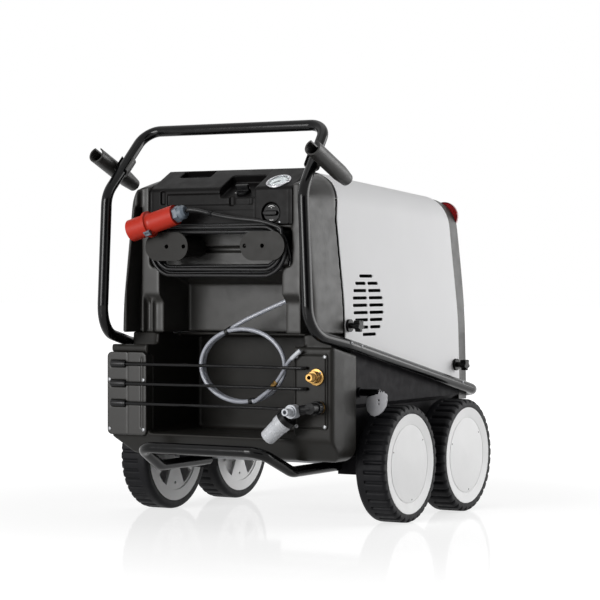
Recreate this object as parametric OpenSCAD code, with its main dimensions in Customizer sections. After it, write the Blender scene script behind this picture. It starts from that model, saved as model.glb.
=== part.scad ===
// Four-wheeled pressure washer with push handle, cord bay, hose storage and sheet hood.
// Millimetres. X to the right, Y forward, Z up. Lengths in Y are measured from midway
// between the two axles, and every node is then moved so that the origin is the middle
// of the footprint on the floor.

/* [Wheels] */
// Radius of the tyre
wheel_r = 150; // [135:1:155]
// Width of the tyre
tyre_w = 83; // [70:1:90]
// Distance between the wheel centres across the machine
track = 715; // [700:1:740]
// Distance between the two axles
wheelbase = 331; // [326:1:350]
// Outer radius of the rim
rim_r = 128; // [118:1:130]
// Outer radius of the hub cap
cap_r = 100; // [92:1:102]
// Radius of the axle
axle_r = 10; // [8:0.5:12]
// Number of grooves in the tread
groove_n = 36; // [24:1:40]
// Depth of a groove in the tread
groove_depth = 5; // [3:0.5:7]
// Width of a groove in the tread
groove_w = 8; // [5:0.5:10]

/* [Tube frame] */
// Radius of the frame tubes
tube_r = 14; // [12:0.5:15]
// Height of the handle bar
handle_z = 1006; // [980:1:1040]
// Half the width of the handle bar, to its corners
handle_half = 271; // [262:1:276]
// Distance of the handle bar behind the axle midpoint
handle_back = 376; // [360:1:392]
// Height at which the handle legs kink
kink_z = 838; // [820:1:850]
// Half the distance between the handle legs at the kink
kink_half = 291; // [286:1:296]
// Half the distance between the handle legs at the foot
leg_half = 306; // [302:1:310]
// Distance of the handle legs behind the axle midpoint
leg_back = 527; // [520:1:540]
// Half the distance between the side rails
rail_half = 330.5; // [330.5:0.5:334]
// Height of the side rail at its rear joint
rail_z = 444; // [442:1:448]
// Fall of the side rail toward the front, degrees
rail_fall = 11.2; // [10.8:0.1:11.6]
// Distance of the bumper bar ahead of the axle midpoint
bumper_front = 374; // [370:1:390]
// Distance of the foot bar behind the axle midpoint
foot_back = 542; // [535:1:560]
// Height of the foot bar
foot_z = 196; // [190:1:200]
// Half the length of the foot bar
foot_half = 178; // [170:1:190]
// Height of the foot bar's legs
foot_leg_z = 140; // [136:1:144]

/* [Body] */
// Half the width of the hood at its lower edge
base_half = 316; // [312:1:316]
// Half the width of the hood at the waist
waist_half = 309; // [305:1:309]
// Half the width of the hood at the top
top_half = 273; // [265:1:276]
// Height of the waist
waist_z = 560; // [540:1:580]
// Height of the hood at its rear edge
hood_z = 895; // [888:1:902]
// Radius of the hood's upper edges
crown_r = 95; // [80:1:110]
// Fall of the hood toward the front, degrees
hood_fall = 3.8; // [3:0.1:4.5]
// Thickness of the hood sheet
hood_t = 2; // [1.5:0.1:3]
// Distance of the rear face behind the axle midpoint
rear_back = 455; // [450:1:460]
// Distance of the hood's rear edge behind the axle midpoint
hood_back = 351; // [345:1:358]
// Distance of the hood's front edge ahead of the axle midpoint
hood_front = 287; // [280:1:295]
// Depth of the front cover
cover_deep = 72; // [66:1:72]
// Backward lean of the front cover, degrees
cover_lean = 2.2; // [1.5:0.1:3]
// Wall of the moulded housings
wall = 5; // [4:0.5:6]
// Rows of slots in the air vent
vent_rows = 9; // [7:2:11]
// Distance between the rows of slots
vent_pitch = 18.5; // [16:0.5:19]
// Height of one slot
vent_slot = 8; // [6:0.5:10]

/* [Rear housing] */
// Half the width of the cord bay
bay_half = 213; // [212:1:216]
// Height of the cord bay's floor
bay_low = 652; // [648:1:656]
// Height of the cord bay's roof
bay_high = 749; // [747:1:752]
// Depth of the cord bay
bay_deep = 80; // [76:1:86]
// Half the width of the hose recess
recess_half = 183; // [176:1:190]
// Depth of the hose recess
recess_deep = 147; // [130:1:155]
// Lower edge of the rear housing
housing_low = 484; // [482:1:488]
// Setback of the pillars below the ledge
ledge_deep = 27; // [20:1:32]
// Height of the ledge
ledge_z = 590; // [575:1:605]

/* [Control panel] */
// Half the width of the control panel
panel_half = 214; // [208:1:218]
// Distance of the panel's rear face behind the axle midpoint
panel_back = 446; // [444:1:447]
// Height of the panel's rear edge
panel_z = 850; // [846:1:854]
// Slope of the panel, degrees
panel_slope = 28.5; // [26:0.5:30]
// Length of the panel along its slope
panel_len = 120; // [118:1:122]
// Radius of the gauge
gauge_r = 30; // [27:0.5:31]
// Radius of the dosing knob
dose_r = 24; // [20:0.5:26]
// Radius of the main switch knob
switch_r = 19; // [16:0.5:21]

/* [Hose bin] */
// Half the width of the hose bin
bin_half = 218; // [210:1:220]
// Height of the bin floor
bin_z = 225; // [222:1:228]
// Depth of the bin behind the rear face
bin_deep = 249; // [240:1:255]
// Width of the rod clip box
clip_w = 122; // [116:1:123]
// Height of the rod clip box
clip_h = 215; // [205:1:218]
// Depth of the rod clip box
clip_d = 32; // [28:1:36]
// Radius of a retaining rod
rod_r = 4; // [3:0.5:5]
// Height of the middle retaining rod
rod_z = 351; // [346:1:354]
// Distance between the retaining rods
rod_pitch = 51; // [48:1:52]
// Thickness of the connection plate
plate_t = 4; // [3:0.5:5]

/* [Cord and hooks] */
// Half the height of a hook plate
hook_h = 36.5; // [35:0.5:38]
// Distance of a hook's outer end from the middle
hook_out = 207; // [204:1:210]
// Distance of a hook's inner end from the middle
hook_in = 78; // [70:1:84]
// Thickness of a hook plate
hook_t = 8; // [6:0.5:9]
// Radius of the power cord
cord_r = 5; // [4:0.25:5]
// Radius of the detergent hose
hose_r = 5.5; // [5:0.25:5.5]

/* [Gun holders] */
// Outer radius of a gun holder
holder_r = 21; // [19:0.5:23]
// Bore radius of a gun holder
holder_bore = 17; // [15:0.5:18]
// Length of a gun holder
holder_len = 190; // [170:1:200]

/* [Fittings] */
// Radius of the outlet's thread
outlet_r = 11; // [10:0.5:12]
// Radius of the inlet spigot
spigot_r = 9; // [8:0.5:10]
// Radius of the filter cup
cup_r = 24; // [21:0.5:25]
// Length of the filter cup
cup_len = 66; // [55:1:72]

/* [Clearances] */
// Radial clearance of a shaft in its bore
run = 0.05; // [0.02:0.01:0.1]
// Gap between neighbouring pieces
gap = 0.3; // [0.3:0.1:0.6]

/* [Hidden] */
$fn = 48;
y_rear = -rear_back;
y_shift = (foot_back - bumper_front) / 2;
rail_tan = tan(rail_fall);
rail_joint = -300;
bumper_joint = 296;
side_y = wheelbase / 2;
front_y = hood_front + cover_deep;
tray_y = y_rear + 123;
tray_z = 172;
panel_half_w = base_half - 2;
skin = 2;
shoulder_z = panel_z + 8;
shoulder_r = 58;
shoulder_rise = 14.5;
saddle = 26;
switch_x = 56;
gauge_x = 157;
gauge_s = 32;
switch_s = 18;
dose_x = 150;
dose_z = 786;
y_face = -panel_back;
panel_dir = [cos(panel_slope), sin(panel_slope)];
panel_top = [y_face, panel_z] + panel_len * panel_dir;
outlet_p = [base_half - 27, y_rear - plate_t + 3, 380];
inlet_p = [base_half - 19, y_rear - plate_t + 3, 305];
plate_y = y_rear - plate_t + 3;
hook_z = 704;
hook_y = y_rear - 12;
rod_y = y_rear - 2;
rod_out_y = plate_y - 12 - rod_r;
rod_end_x = base_half - 54;
hood_knobs = [["rear", -335, 505], ["front", 262, 388]];
brake_y = -287;
brake_z = 336;
vent_y = -226;
vent_z = 555;
pan_half = track / 2 - tyre_w / 2 - 26;
tank_x = 28 - pan_half;
lens_x = 241;
lens_h = 486;
lens_r = 40;
feed_shift = [-15, 0, 40];

// Helpers

function unit(v) = v / norm(v);

// Height of the side rail's axis at a given Y
function rail_at(y) = rail_z - (y - rail_joint) * rail_tan;

// Half the width of the hood's outer surface at a given height
function side_at(z) = z < waist_z
    ? waist_half + (base_half - waist_half) * (waist_z - z) / (waist_z - 290)
    : waist_half - (waist_half - top_half) * (z - waist_z) / (hood_z - waist_z);

// Every node is built round the axle midpoint and moved here to the footprint's middle
module placed(c) {
    color(c)
        translate([0, y_shift, 0])
            children();
}

// Polygon with true round corners, one radius per point
module round_poly(p, r) {
    n = len(p);
    polygon([for (i = [0:n - 1])
        let (u = unit(p[(i + n - 1) % n] - p[i]), w = unit(p[(i + 1) % n] - p[i]))
            each (r[i] > 0
                ? [p[i] + u * r[i] / tan(acos(u * w) / 2), p[i] + w * r[i] / tan(acos(u * w) / 2)]
                : [p[i]])]);
    for (i = [0:n - 1])
        if (r[i] > 0)
            let (u = unit(p[(i + n - 1) % n] - p[i]), w = unit(p[(i + 1) % n] - p[i]))
                translate(p[i] + unit(u + w) * r[i] / sin(acos(u * w) / 2))
                    circle(r[i]);
}

// Rounded rectangle from corner to corner
module round_rect(a, b, r) {
    round_poly([a, [b[0], a[1]], b, [a[0], b[1]]], [r, r, r, r]);
}

// Slot outline with round ends, lying along X
module slot_2d(x0, x1, y, r) {
    translate([x0 + r, y - r])
        square([x1 - x0 - 2 * r, 2 * r]);
    for (x = [x0 + r, x1 - r])
        translate([x, y])
            circle(r);
}

// Outline in X and Z, extruded along Y from y0 to y1
module along_y(y0, y1) {
    translate([0, y1, 0])
        rotate([90, 0, 0])
            linear_extrude(y1 - y0)
                children();
}

// Outline in Y and Z, extruded along X from x0 to x1
module along_x(x0, x1) {
    translate([x0, 0, 0])
        rotate([90, 0, 90])
            linear_extrude(x1 - x0)
                children();
}

// Cylinder between two points
module rod(p, q, r) {
    d = q - p;
    translate(p)
        rotate([0, acos(d[2] / norm(d)), atan2(d[1], d[0])])
            cylinder(h = norm(d), r = r);
}

// Axis of children turned from Z to point from p toward q
module aim(p, q) {
    d = q - p;
    translate(p)
        rotate([0, acos(d[2] / norm(d)), atan2(d[1], d[0])])
            children();
}

// Cylinder across a node, with its axis along X or along Y
module bar_x(x0, x1, y, z, r) {
    translate([x0, y, z])
        rotate([0, 90, 0])
            cylinder(h = x1 - x0, r = r);
}
module bar_y(y0, y1, x, z, r) {
    translate([x, y1, z])
        rotate([90, 0, 0])
            cylinder(h = y1 - y0, r = r);
}

// Length lost to the bend at corner i of a bent bar
function bend_cut(p, b, i) = i == 0 || i == len(p) - 1 ? 0
    : b[i] * tan(acos(unit(p[i] - p[i - 1]) * unit(p[i + 1] - p[i])) / 2);

// One bend of a bent bar, as a piece of a ring
module bend(a, p, q, br, r) {
    u = unit(p - a);
    w = unit(q - p);
    turn = acos(u * w);
    n = unit(w - (u * w) * u);
    c = p - br * tan(turn / 2) * u + br * n;
    z = cross(-n, u);
    multmatrix([[-n[0], u[0], z[0], c[0]], [-n[1], u[1], z[1], c[1]], [-n[2], u[2], z[2], c[2]], [0, 0, 0, 1]])
        rotate_extrude(angle = turn)
            translate([br, 0])
                circle(r);
}

// Round bar through the corners p, bent to the radii b
module bent_bar(p, b, r) {
    lap = 0.4;
    draw = 0.05;
    last = len(p) - 1;
    for (i = [0:last - 1])
        let (u = unit(p[i + 1] - p[i]))
            rod(p[i] + u * (bend_cut(p, b, i) - (i > 0 ? lap : 0)),
                p[i + 1] - u * (bend_cut(p, b, i + 1) - (i + 1 < last ? lap : 0)), r);
    for (i = [1:last - 1])
        bend(p[i - 1], p[i], p[i + 1], b[i], r - draw);
}

// Both sides of a list of points on the right, ordered from right to left
function both_sides(p) = concat(p, [for (i = [len(p) - 1:-1:0]) [-p[i][0], p[i][1], p[i][2]]]);

// Tube of n sides through the points p, square at both ends
function tube_dir(p, i) = unit(i == 0 ? p[1] - p[0]
    : i == len(p) - 1 ? p[i] - p[i - 1] : unit(p[i + 1] - p[i]) + unit(p[i] - p[i - 1]));
function tube_side(p, i, up) = unit(cross(tube_dir(p, i), up));
module tube(p, r, n, up) {
    m = len(p);
    polyhedron(
        [for (i = [0:m - 1])
            let (s = tube_side(p, i, up), t = cross(s, tube_dir(p, i)))
                for (k = [0:n - 1]) p[i] + r * (cos(360 * k / n) * s + sin(360 * k / n) * t)],
        concat(
            [for (k = [1:n - 2]) [0, k + 1, k]],
            [for (k = [1:n - 2]) [(m - 1) * n, (m - 1) * n + k, (m - 1) * n + k + 1]],
            [for (i = [0:m - 2]) for (k = [0:n - 1]) [i * n + k, i * n + (k + 1) % n, (i + 1) * n + (k + 1) % n]],
            [for (i = [0:m - 2]) for (k = [0:n - 1]) [i * n + k, (i + 1) * n + (k + 1) % n, (i + 1) * n + k]]));
}

// Least distance between points of a wound tube that lie more than far points apart
function wound_gap(p, r, far) = min([for (i = [0:len(p) - 1])
    for (j = [i + far:1:len(p) - 1]) norm(p[i] - p[j])]) - 2 * r;

// Wheels

// Wheel-centred frame with Z pointing outward
module at_wheel(sx, sy) {
    translate([sx * track / 2, sy * side_y, wheel_r])
        rotate([0, sx * 90, 0])
            children();
}

// Rubber tyre with transverse grooves that open at the outer shoulder
module tyre(sx, sy) {
    seat_r = rim_r - 7;
    half = tyre_w / 2;
    shoulder = (wheel_r - rim_r) / 2;
    placed("#1c1c1e")
        at_wheel(sx, sy)
            difference() {
                rotate_extrude() {
                    translate([rim_r, -half + shoulder])
                        square([wheel_r - rim_r, tyre_w - 2 * shoulder]);
                    translate([rim_r, -half])
                        square([wheel_r - rim_r - shoulder, tyre_w]);
                    translate([seat_r, -half + 7])
                        square([rim_r - seat_r + 1, tyre_w - 14]);
                    for (z = [-half + shoulder, half - shoulder])
                        translate([wheel_r - shoulder, z])
                            circle(shoulder);
                }
                for (i = [0:groove_n - 1])
                    rotate([0, 0, i * 360 / groove_n])
                        translate([wheel_r - groove_depth, -groove_w / 2, -half * 0.4])
                            cube([groove_depth + 5, groove_w, tyre_w]);
            }
}

// Window outline between two spoke edges of the rim
module rim_window(a0, a1) {
    r_in = 42;
    r_out = cap_r - 6;
    intersection() {
        difference() {
            circle(r_out);
            circle(r_in);
        }
        polygon([[0, 0], [200 * cos(a0), 200 * sin(a0)], [200 * cos(a1), 200 * sin(a1)]]);
    }
}

// Plastic rim: barrel, outer ring with its cap disc, hub, and a spoked inner face
module wheel(sx, sy) {
    half = tyre_w / 2;
    seat_r = rim_r - 7 - gap / 10;
    lip = rim_r - gap / 10;
    rib = 4;
    spoke = 33;
    placed("#d8d8d8")
        at_wheel(sx, sy)
            difference() {
                rotate_extrude()
                    polygon([[axle_r + run, -half + 2], [26, -half + 2], [34, -half + 5], [cap_r, -half + 5],
                        [cap_r, -half + 1.5], [lip, -half + 1], [lip, -half + 7], [seat_r, -half + 7],
                        [seat_r, half - 7], [lip, half - 7], [lip, half - 1], [cap_r + 4, half - 5],
                        [cap_r + 1, half - 9], [cap_r - 1, half - 9], [cap_r - 2, half - 5], [0, half - 3],
                        [0, half - 7], [cap_r, half - 13], [seat_r - 9, half - 16], [seat_r - 9, -half + 14],
                        [cap_r, -half + 13], [34, -half + 13], [24, -half + 18], [24, half - 24],
                        [axle_r + run, half - 24]]);
                for (a = [0, 120, 240])
                    translate([0, 0, -half - 1])
                        linear_extrude(20) {
                            rotate([0, 0, a])
                                rim_window(rib, spoke);
                            rotate([0, 0, a])
                                rim_window(-spoke, -rib);
                            rotate([0, 0, a + 60])
                                translate([cap_r * 0.8, 0])
                                    circle(4);
                        }
            }
}

// Both axles with the clips that keep the wheels on
module axles() {
    end = track / 2 + tyre_w / 2 - 18;
    placed("#8c8c90")
        for (sy = [-1, 1])
            translate([0, sy * side_y, wheel_r]) {
                bar_x(-end, end, 0, 0, axle_r);
                for (sx = [-1, 1])
                    translate([sx * (end - 3), 0, 0])
                        bar_x(-1.5, 1.5, 0, 0, axle_r + 5);
            }
}

// Chassis and housings

// Side view of the chassis tray: upper edge along the rail, front edge under the cover
module tray_side(inset) {
    lift = inset > 0 ? 60 : -gap;
    polygon([[tray_y + inset, tray_z + inset], [tray_y + inset, rail_at(tray_y) + lift],
        [hood_front - 1 - inset, rail_at(hood_front) + lift], [hood_front - 1 - inset, tray_z + inset]]);
}

// Cross-section of the tray: wide side panels above the wheels, a narrow pan between them
module tray_section(inset) {
    arch = 2 * wheel_r + 6;
    pan = track / 2 - tyre_w / 2 - 26;
    polygon([[-pan + inset, tray_z], [pan - inset, tray_z], [pan - inset, arch - 12 + inset],
        [panel_half_w - inset, arch + inset], [panel_half_w - inset, 600],
        [-panel_half_w + inset, 600], [-panel_half_w + inset, arch + inset], [-pan + inset, arch - 12 + inset]]);
}

module tray_body(inset) {
    intersection() {
        along_x(-400, 400)
            tray_side(inset);
        along_y(-500, 500)
            tray_section(inset);
    }
}

// Moulded chassis tray with side panels, axle saddles and the brake pivot
module chassis_tray() {
    pan = pan_half;
    placed("#27272a")
        difference() {
            union() {
                difference() {
                    tray_body(0);
                    difference() {
                        tray_body(wall);
                        translate([-400, -500, tray_z - 1])
                            cube([800, 1000, wall + 1]);
                    }
                }
                for (sy = [-1, 1])
                    for (sx = [-1, 1])
                        translate([sx * (pan - 45) - 45, sy * side_y - saddle, wheel_r - 32])
                            cube([90, 2 * saddle, tray_z - wheel_r + 33]);
                bar_x(panel_half_w - 1, panel_half_w + 6, brake_y, brake_z, 13);
                bar_x(panel_half_w - 1, panel_half_w + 76, brake_y, brake_z, 5);
            }
            for (sy = [-1, 1])
                bar_x(-400, 400, sy * side_y, wheel_r, axle_r + run);
            translate([-bin_half - wall - gap, tray_y - 1, bin_z - wall - gap])
                cube([2 * (bin_half + wall + gap), wall + 2, 400]);
            for (p = [outlet_p, inlet_p + feed_shift])
                bar_y(tray_y - 1, tray_y + wall + 1, p[0], p[2], 14);
            tray_front_cut();
        }
}

// Lower front of the tray swept back behind the bumper
module tray_front_cut() {
    along_x(-400, 400)
        polygon([[hood_front + 1, tray_z - 1], [hood_front + 1, 262], [hood_front - 60, tray_z - 1]]);
}

// Lower edge of the handle tube where it passes over the bin's columns
function column_top(y) = rail_at(y) - tube_r - 5;

// Bevelled outer form of the bin moulding
module bin_block(inset) {
    y0 = y_rear + 3 + inset;
    intersection() {
        along_x(-400, 400)
            polygon([[y0, bin_z - 5 + inset], [y0 + 50, tray_z - 6 + inset], [tray_y - 1, tray_z - 6 + inset],
                [tray_y - 1, column_top(tray_y) - inset], [y0, column_top(y0) - inset]]);
        translate([0, 0, 100])
            linear_extrude(500)
                polygon([[-328 + inset, y0], [328 - inset, y0], [350 - inset, y0 + 48], [350 - inset, tray_y + 20],
                    [-350 + inset, tray_y + 20], [-350 + inset, y0 + 48]]);
    }
}

// Hose bin with its two columns, moulded in one piece
module rear_bin() {
    back = y_rear + bin_deep;
    clip_x = -bin_half - clip_w;
    placed("#2b2a2a")
        difference() {
            union() {
                difference() {
                    bin_block(0);
                    translate([0, 1, 0])
                        bin_block(wall);
                }
                along_y(y_rear + 3, back + wall)
                    round_rect([-bin_half - wall, bin_z - wall], [bin_half + wall, housing_low - gap], 10);
            }
            along_y(y_rear - 1, back)
                round_rect([-bin_half, bin_z], [bin_half, housing_low - 4 - wall], 6);
            translate([-bin_half - wall - 1, y_rear - 20, column_top(y_rear)])
                cube([2 * bin_half + 2 * wall + 2, recess_deep + 20, 100]);
            translate([clip_x - gap, y_rear - 20, bin_z - 7 - gap])
                cube([clip_w + 2 * gap, 20 + clip_d - 2 + gap, clip_h + 2 * gap]);
            for (p = [outlet_p, inlet_p])
                bar_y(y_rear - 1, y_rear + 12, p[0], p[2], 14);
        }
}

// Soft bend of the hood's side at the waist, on the right side, from below upward
function waist_pts(inset) =
    let (low = [base_half - inset, 290], mid = [waist_half - inset, waist_z],
        high = [top_half - inset, hood_z - inset], a = mid + unit(low - mid) * 45, b = mid + unit(high - mid) * 45)
        [for (i = [0:4]) let (t = i / 4) a * (1 - t) * (1 - t) + mid * 2 * t * (1 - t) + b * t * t];

// Outline of the body behind the hood, set in from the hood's surface
module body_outline(inset) {
    right = waist_pts(inset);
    left = [for (i = [4:-1:0]) [-right[i][0], right[i][1]]];
    flat = [for (i = [0:4]) 0];
    round_poly(concat([[-base_half + inset, 290], [base_half - inset, 290]], right,
        [[top_half - inset, hood_z - inset], [-top_half + inset, hood_z - inset]], left),
        concat([0, 0], flat, [crown_r - inset, crown_r - inset], flat));
}

// Side view of the body behind the hood, with the hood's curved edge moved by past
module body_side(inset, past) {
    y0 = y_rear + inset + 5;
    y1 = -hood_back + past;
    low = housing_low + inset - skin;
    polygon([[y0, low], [y0, hood_z + 20], [y1 + 26, hood_z + 20], [y1 + 26, hood_z - 33],
        [y1 + 10, hood_z - 80], [y1 - 1, hood_z - 125], [y1 - 1, low]]);
}

// Sloping shoulders of the body, with tighter rounding than the hood's
module body_crown(inset) {
    drop = 700;
    lean = (waist_half - top_half) / (hood_z - waist_z);
    half = side_at(shoulder_z) - inset;
    translate([0, y_rear, shoulder_z - inset])
        rotate([shoulder_rise, 0, 0])
            along_y(-260, 340)
                round_poly([[-half - drop * lean, -drop], [half + drop * lean, -drop], [half, 0], [-half, 0]],
                    [0, 0, shoulder_r - inset, shoulder_r - inset]);
}

module body_block(inset, past) {
    intersection() {
        along_y(-500, -300)
            body_outline(inset);
        body_crown(inset);
        along_x(-400, 400)
            body_side(inset, past);
    }
}

// Space taken out of the rear housing from behind; grown by the wall for the space in front
module housing_hollows(grow) {
    y0 = y_rear - 1;
    along_y(y0, y_rear + bay_deep + grow)
        round_rect([-bay_half - grow, bay_low - grow], [bay_half + grow, bay_high + grow], 3);
    along_y(y0, y_rear + recess_deep + grow)
        round_rect([-recess_half - grow, housing_low - 40], [recess_half + grow, bay_low - 7 + grow], 12);
    along_y(y0, y_rear + 50 + grow)
        round_rect([-recess_half - grow, housing_low - 40], [recess_half + grow, bay_low + 30], 12);
    for (sx = [0, 1])
        mirror([sx, 0, 0])
            along_x(recess_half - 1 - grow, recess_half + 49 + grow)
                polygon([[y0, housing_low - 40], [y_rear + ledge_deep + grow, housing_low - 40],
                    [y_rear + ledge_deep + grow, ledge_z - ledge_deep], [y_rear, ledge_z + grow],
                    [y0, ledge_z + grow]]);
    intersection() {
        for (sx = [-1, 1])
            translate([sx * 256, 0, 0])
                along_y(y0, y_rear + 44 + grow)
                    round_rect([-20 - grow, housing_low - 40], [20 + grow, panel_z - 38 + grow], 12);
        along_y(y0 - 1, y_rear + 60)
            body_outline(skin + 2 * wall - grow);
    }
}

// Rear housing with cord bay, hose recess, pillars and side grooves
module rear_housing() {
    deep = y_rear + recess_deep + wall;
    roof = bay_high + 8;
    placed("#2d2c2b")
        difference() {
            union() {
                difference() {
                    body_block(skin, 0);
                    difference() {
                        body_block(skin + wall, 20);
                        housing_hollows(wall);
                    }
                }
                along_y(-hood_back - 2, deep)
                    round_rect([-recess_half - wall, housing_low], [recess_half + wall, bay_low - 7 + wall], 12);
            }
            housing_hollows(0);
            translate([-panel_half - gap, y_rear - 1, roof])
                cube([2 * (panel_half + gap), 300, 300]);
            translate([-bay_half, y_rear - 1, bay_high - 4])
                cube([2 * bay_half, y_face - y_rear + 5, 20]);
        }
}

// Hood: folded sheet with rounded upper edges, sloping to the front
module hood_form(inset) {
    translate([0, -hood_back, hood_z])
        rotate([-hood_fall, 0, 0])
            translate([0, hood_back, -hood_z])
                along_y(-500, 500)
                    body_outline(inset);
}

// Two rows of slots within a round field on the hood's side
module vent_cuts() {
    field = vent_pitch * (vent_rows - 1) / 2 + vent_slot;
    web = 5;
    for (i = [0:vent_rows - 1])
        let (h = (i - (vent_rows - 1) / 2) * vent_pitch, half = sqrt(max(field * field - h * h, 330)))
            for (sx = [-1, 1])
                along_x(sx > 0 ? 250 : -400, sx > 0 ? 400 : -250)
                    if (abs(h) > field * 0.85)
                        slot_2d(vent_y - half, vent_y + half, vent_z + h, vent_slot / 2);
                    else {
                        slot_2d(vent_y - half, vent_y - web, vent_z + h, vent_slot / 2);
                        slot_2d(vent_y + web, vent_y + half, vent_z + h, vent_slot / 2);
                    }
}

module hood() {
    placed("#d4d4d4")
        difference() {
            intersection() {
                difference() {
                    hood_form(0);
                    hood_form(hood_t);
                }
                along_x(-400, 400)
                    polygon([[-hood_back, rail_at(-hood_back)], [hood_front, rail_at(hood_front)],
                        [hood_front, 950], [-hood_back + 28, 950], [-hood_back + 28, hood_z - 33],
                        [-hood_back + 12, hood_z - 80], [-hood_back + 1, hood_z - 125]]);
            }
            vent_cuts();
            for (k = hood_knobs)
                bar_x(-400, 400, k[1], k[2], 5 + run);
        }
}

// Outer form of the front cover, set in for its hollow, which is open toward the hood
module cover_form(inset) {
    low = 292 + inset;
    y0 = hood_front + gap - (inset > 0 ? 20 : 0);
    corner = 40;
    intersection() {
        hood_form(3 + inset);
        along_x(-400, 400)
            polygon([[y0, low], [front_y + 60, low], [front_y + 60, 700 - inset],
                [hood_front + 30 - inset, hood_z - 38 - inset], [y0, hood_z - 36 - inset]]);
        translate([0, front_y, 310])
            rotate([cover_lean, 0, 0])
                translate([0, 0, -100])
                    linear_extrude(800)
                        round_rect([-base_half + 2 + inset, -200], [base_half - 2 - inset, -inset], corner - inset);
    }
}

// Frame on the cover's front face at a height above its foot, Z pointing forward
module on_cover(x, h) {
    translate([x, front_y, 310])
        rotate([cover_lean, 0, 0])
            translate([0, 0, h])
                rotate([-90, 0, 0])
                    children();
}

// Front cover: moulded end cap of the hood with rounded edges, down to the bumper
module front_cover() {
    placed("#262628")
        difference() {
            cover_form(0);
            cover_form(wall);
            for (sx = [-1, 1])
                on_cover(sx * lens_x, lens_h)
                    translate([0, 0, -2])
                        cylinder(h = 20, r = lens_r + gap);
        }
}

// Round red lenses in shallow seats on the cover's upper corners
module reflectors() {
    placed("#b01818")
        for (sx = [-1, 1])
            on_cover(sx * lens_x, lens_h)
                translate([0, 0, -2 + gap])
                    rotate_extrude()
                        polygon([[0, 0], [lens_r, 0], [lens_r, 7], [lens_r - 3, 12], [lens_r - 9, 15], [0, 17]]);
}

// Tube frame

module push_handle() {
    placed("#1b1b1d")
        union()
            bent_bar(both_sides([[rail_half, rail_joint, rail_z],
                [rail_half, rail_joint - 72, rail_at(rail_joint - 72)],
                [leg_half, -leg_back, rail_at(-leg_back)], [kink_half, -leg_back, kink_z],
                [handle_half, -handle_back, handle_z]]),
                [0, 60, 80, 70, 50, 50, 70, 80, 60, 0], tube_r);
}

module side_rails() {
    placed("#1b1b1d")
        for (sx = [-1, 1])
            rod([sx * rail_half, rail_joint, rail_z],
                [sx * rail_half, bumper_joint, rail_at(bumper_joint)], tube_r);
}

module front_bumper() {
    placed("#1b1b1d")
        union()
            bent_bar(both_sides([[rail_half, bumper_joint, rail_at(bumper_joint)],
                [rail_half, bumper_front, rail_at(bumper_front)]]), [0, 60, 60, 0], tube_r);
}

module foot_bar() {
    end = -side_y - saddle;
    placed("#1b1b1d")
        union()
            bent_bar(both_sides([[foot_half + 20, end, foot_leg_z], [foot_half + 20, -foot_back + 120, foot_leg_z],
                [foot_half, -foot_back, foot_z]]), [0, 60, 45, 45, 60, 0], tube_r);
}

// Hose storage

// Heights of the three retaining rods
rod_zs = [rod_z - rod_pitch, rod_z, rod_z + rod_pitch];
rod_tip_x = -bin_half - clip_w + 12;

module rod_clip_box() {
    x0 = -bin_half - clip_w;
    placed("#302f2e")
        difference() {
            along_y(y_rear - 2, y_rear + clip_d - 2)
                round_rect([x0, bin_z - 7], [x0 + clip_w, bin_z - 7 + clip_h], 14);
            for (z = rod_zs) {
                bar_x(rod_tip_x - gap, rod_tip_x + 47 + gap, rod_y, z, 9 + gap);
                bar_x(rod_tip_x + 40, x0 + clip_w + 1, rod_y, z, rod_r + gap);
            }
        }
}

// Plate that carries the water connections and the rods' fixed ends
module connection_plate() {
    placed("#383736")
        difference() {
            along_y(plate_y, y_rear + 3)
                round_rect([base_half - 92, 250], [base_half + 2, 438], 8);
            bar_y(plate_y - 1, y_rear + 5, outlet_p[0], outlet_p[2], 12);
            bar_y(plate_y - 1, y_rear + 5, inlet_p[0], inlet_p[2], 12);
        }
}

module retaining_rods() {
    placed("#141416")
        for (z = rod_zs)
            bent_bar([[rod_tip_x + 47, rod_y, z], [rod_end_x - 122, rod_y, z], [rod_end_x - 78, rod_out_y, z],
                [rod_end_x, rod_out_y, z], [rod_end_x, plate_y, z]], [0, 30, 30, 12, 0], rod_r);
}

module rod_tips() {
    placed("#0f0f10")
        for (z = rod_zs)
            translate([rod_tip_x, rod_y, z])
                rotate([0, 90, 0])
                    rotate_extrude()
                        polygon([[0, 0], [6, 0], [9, 3], [9, 40], [7, 47], [0, 47]]);
}

// Screws of the clip box, the connection plate and the outlet flange
module screws() {
    placed("#b9bcc2") {
        for (x = [-bin_half - clip_w + 8, -bin_half - 8])
            for (z = [bin_z + 8, bin_z + 136])
                bar_y(y_rear - 5, y_rear - 2, x, z, 5);
        for (x = [base_half - 85, base_half - 5])
            for (z = [258, 430])
                bar_y(plate_y - 3, plate_y, x, z, 5);
    }
}

// Cord storage

// Hook plates on their posts, each with its two screw holes
module cord_hooks() {
    post_in = hook_in + 8;
    post_out = hook_out - 40;
    placed("#3a3938")
        for (sx = [0, 1])
            mirror([sx, 0, 0])
                difference() {
                    union() {
                        along_y(hook_y - hook_t, hook_y)
                            slot_2d(hook_in, hook_out, hook_z, hook_h);
                        along_y(hook_y - 1, y_rear + bay_deep)
                            slot_2d(post_in, post_out, hook_z, hook_h - 9);
                    }
                    for (x = [hook_in + 13, (hook_in + hook_out) / 2])
                        bar_y(hook_y - hook_t - 1, hook_y + 12, x, hook_z, 5.5);
                }
}

// Winding of the cord round the hooks: out and in again in two layers
coil_pitch = 11.4;
coil_front = hook_y + cord_r + 0.5;
coil_back = coil_front + 11;
coil_out = 202;
coil_first = [coil_out, y_rear + 20, bay_low + 15];
function ease(t) = t < 0 ? 0 : t > 1 ? 1 : t * t * (3 - 2 * t);
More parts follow.
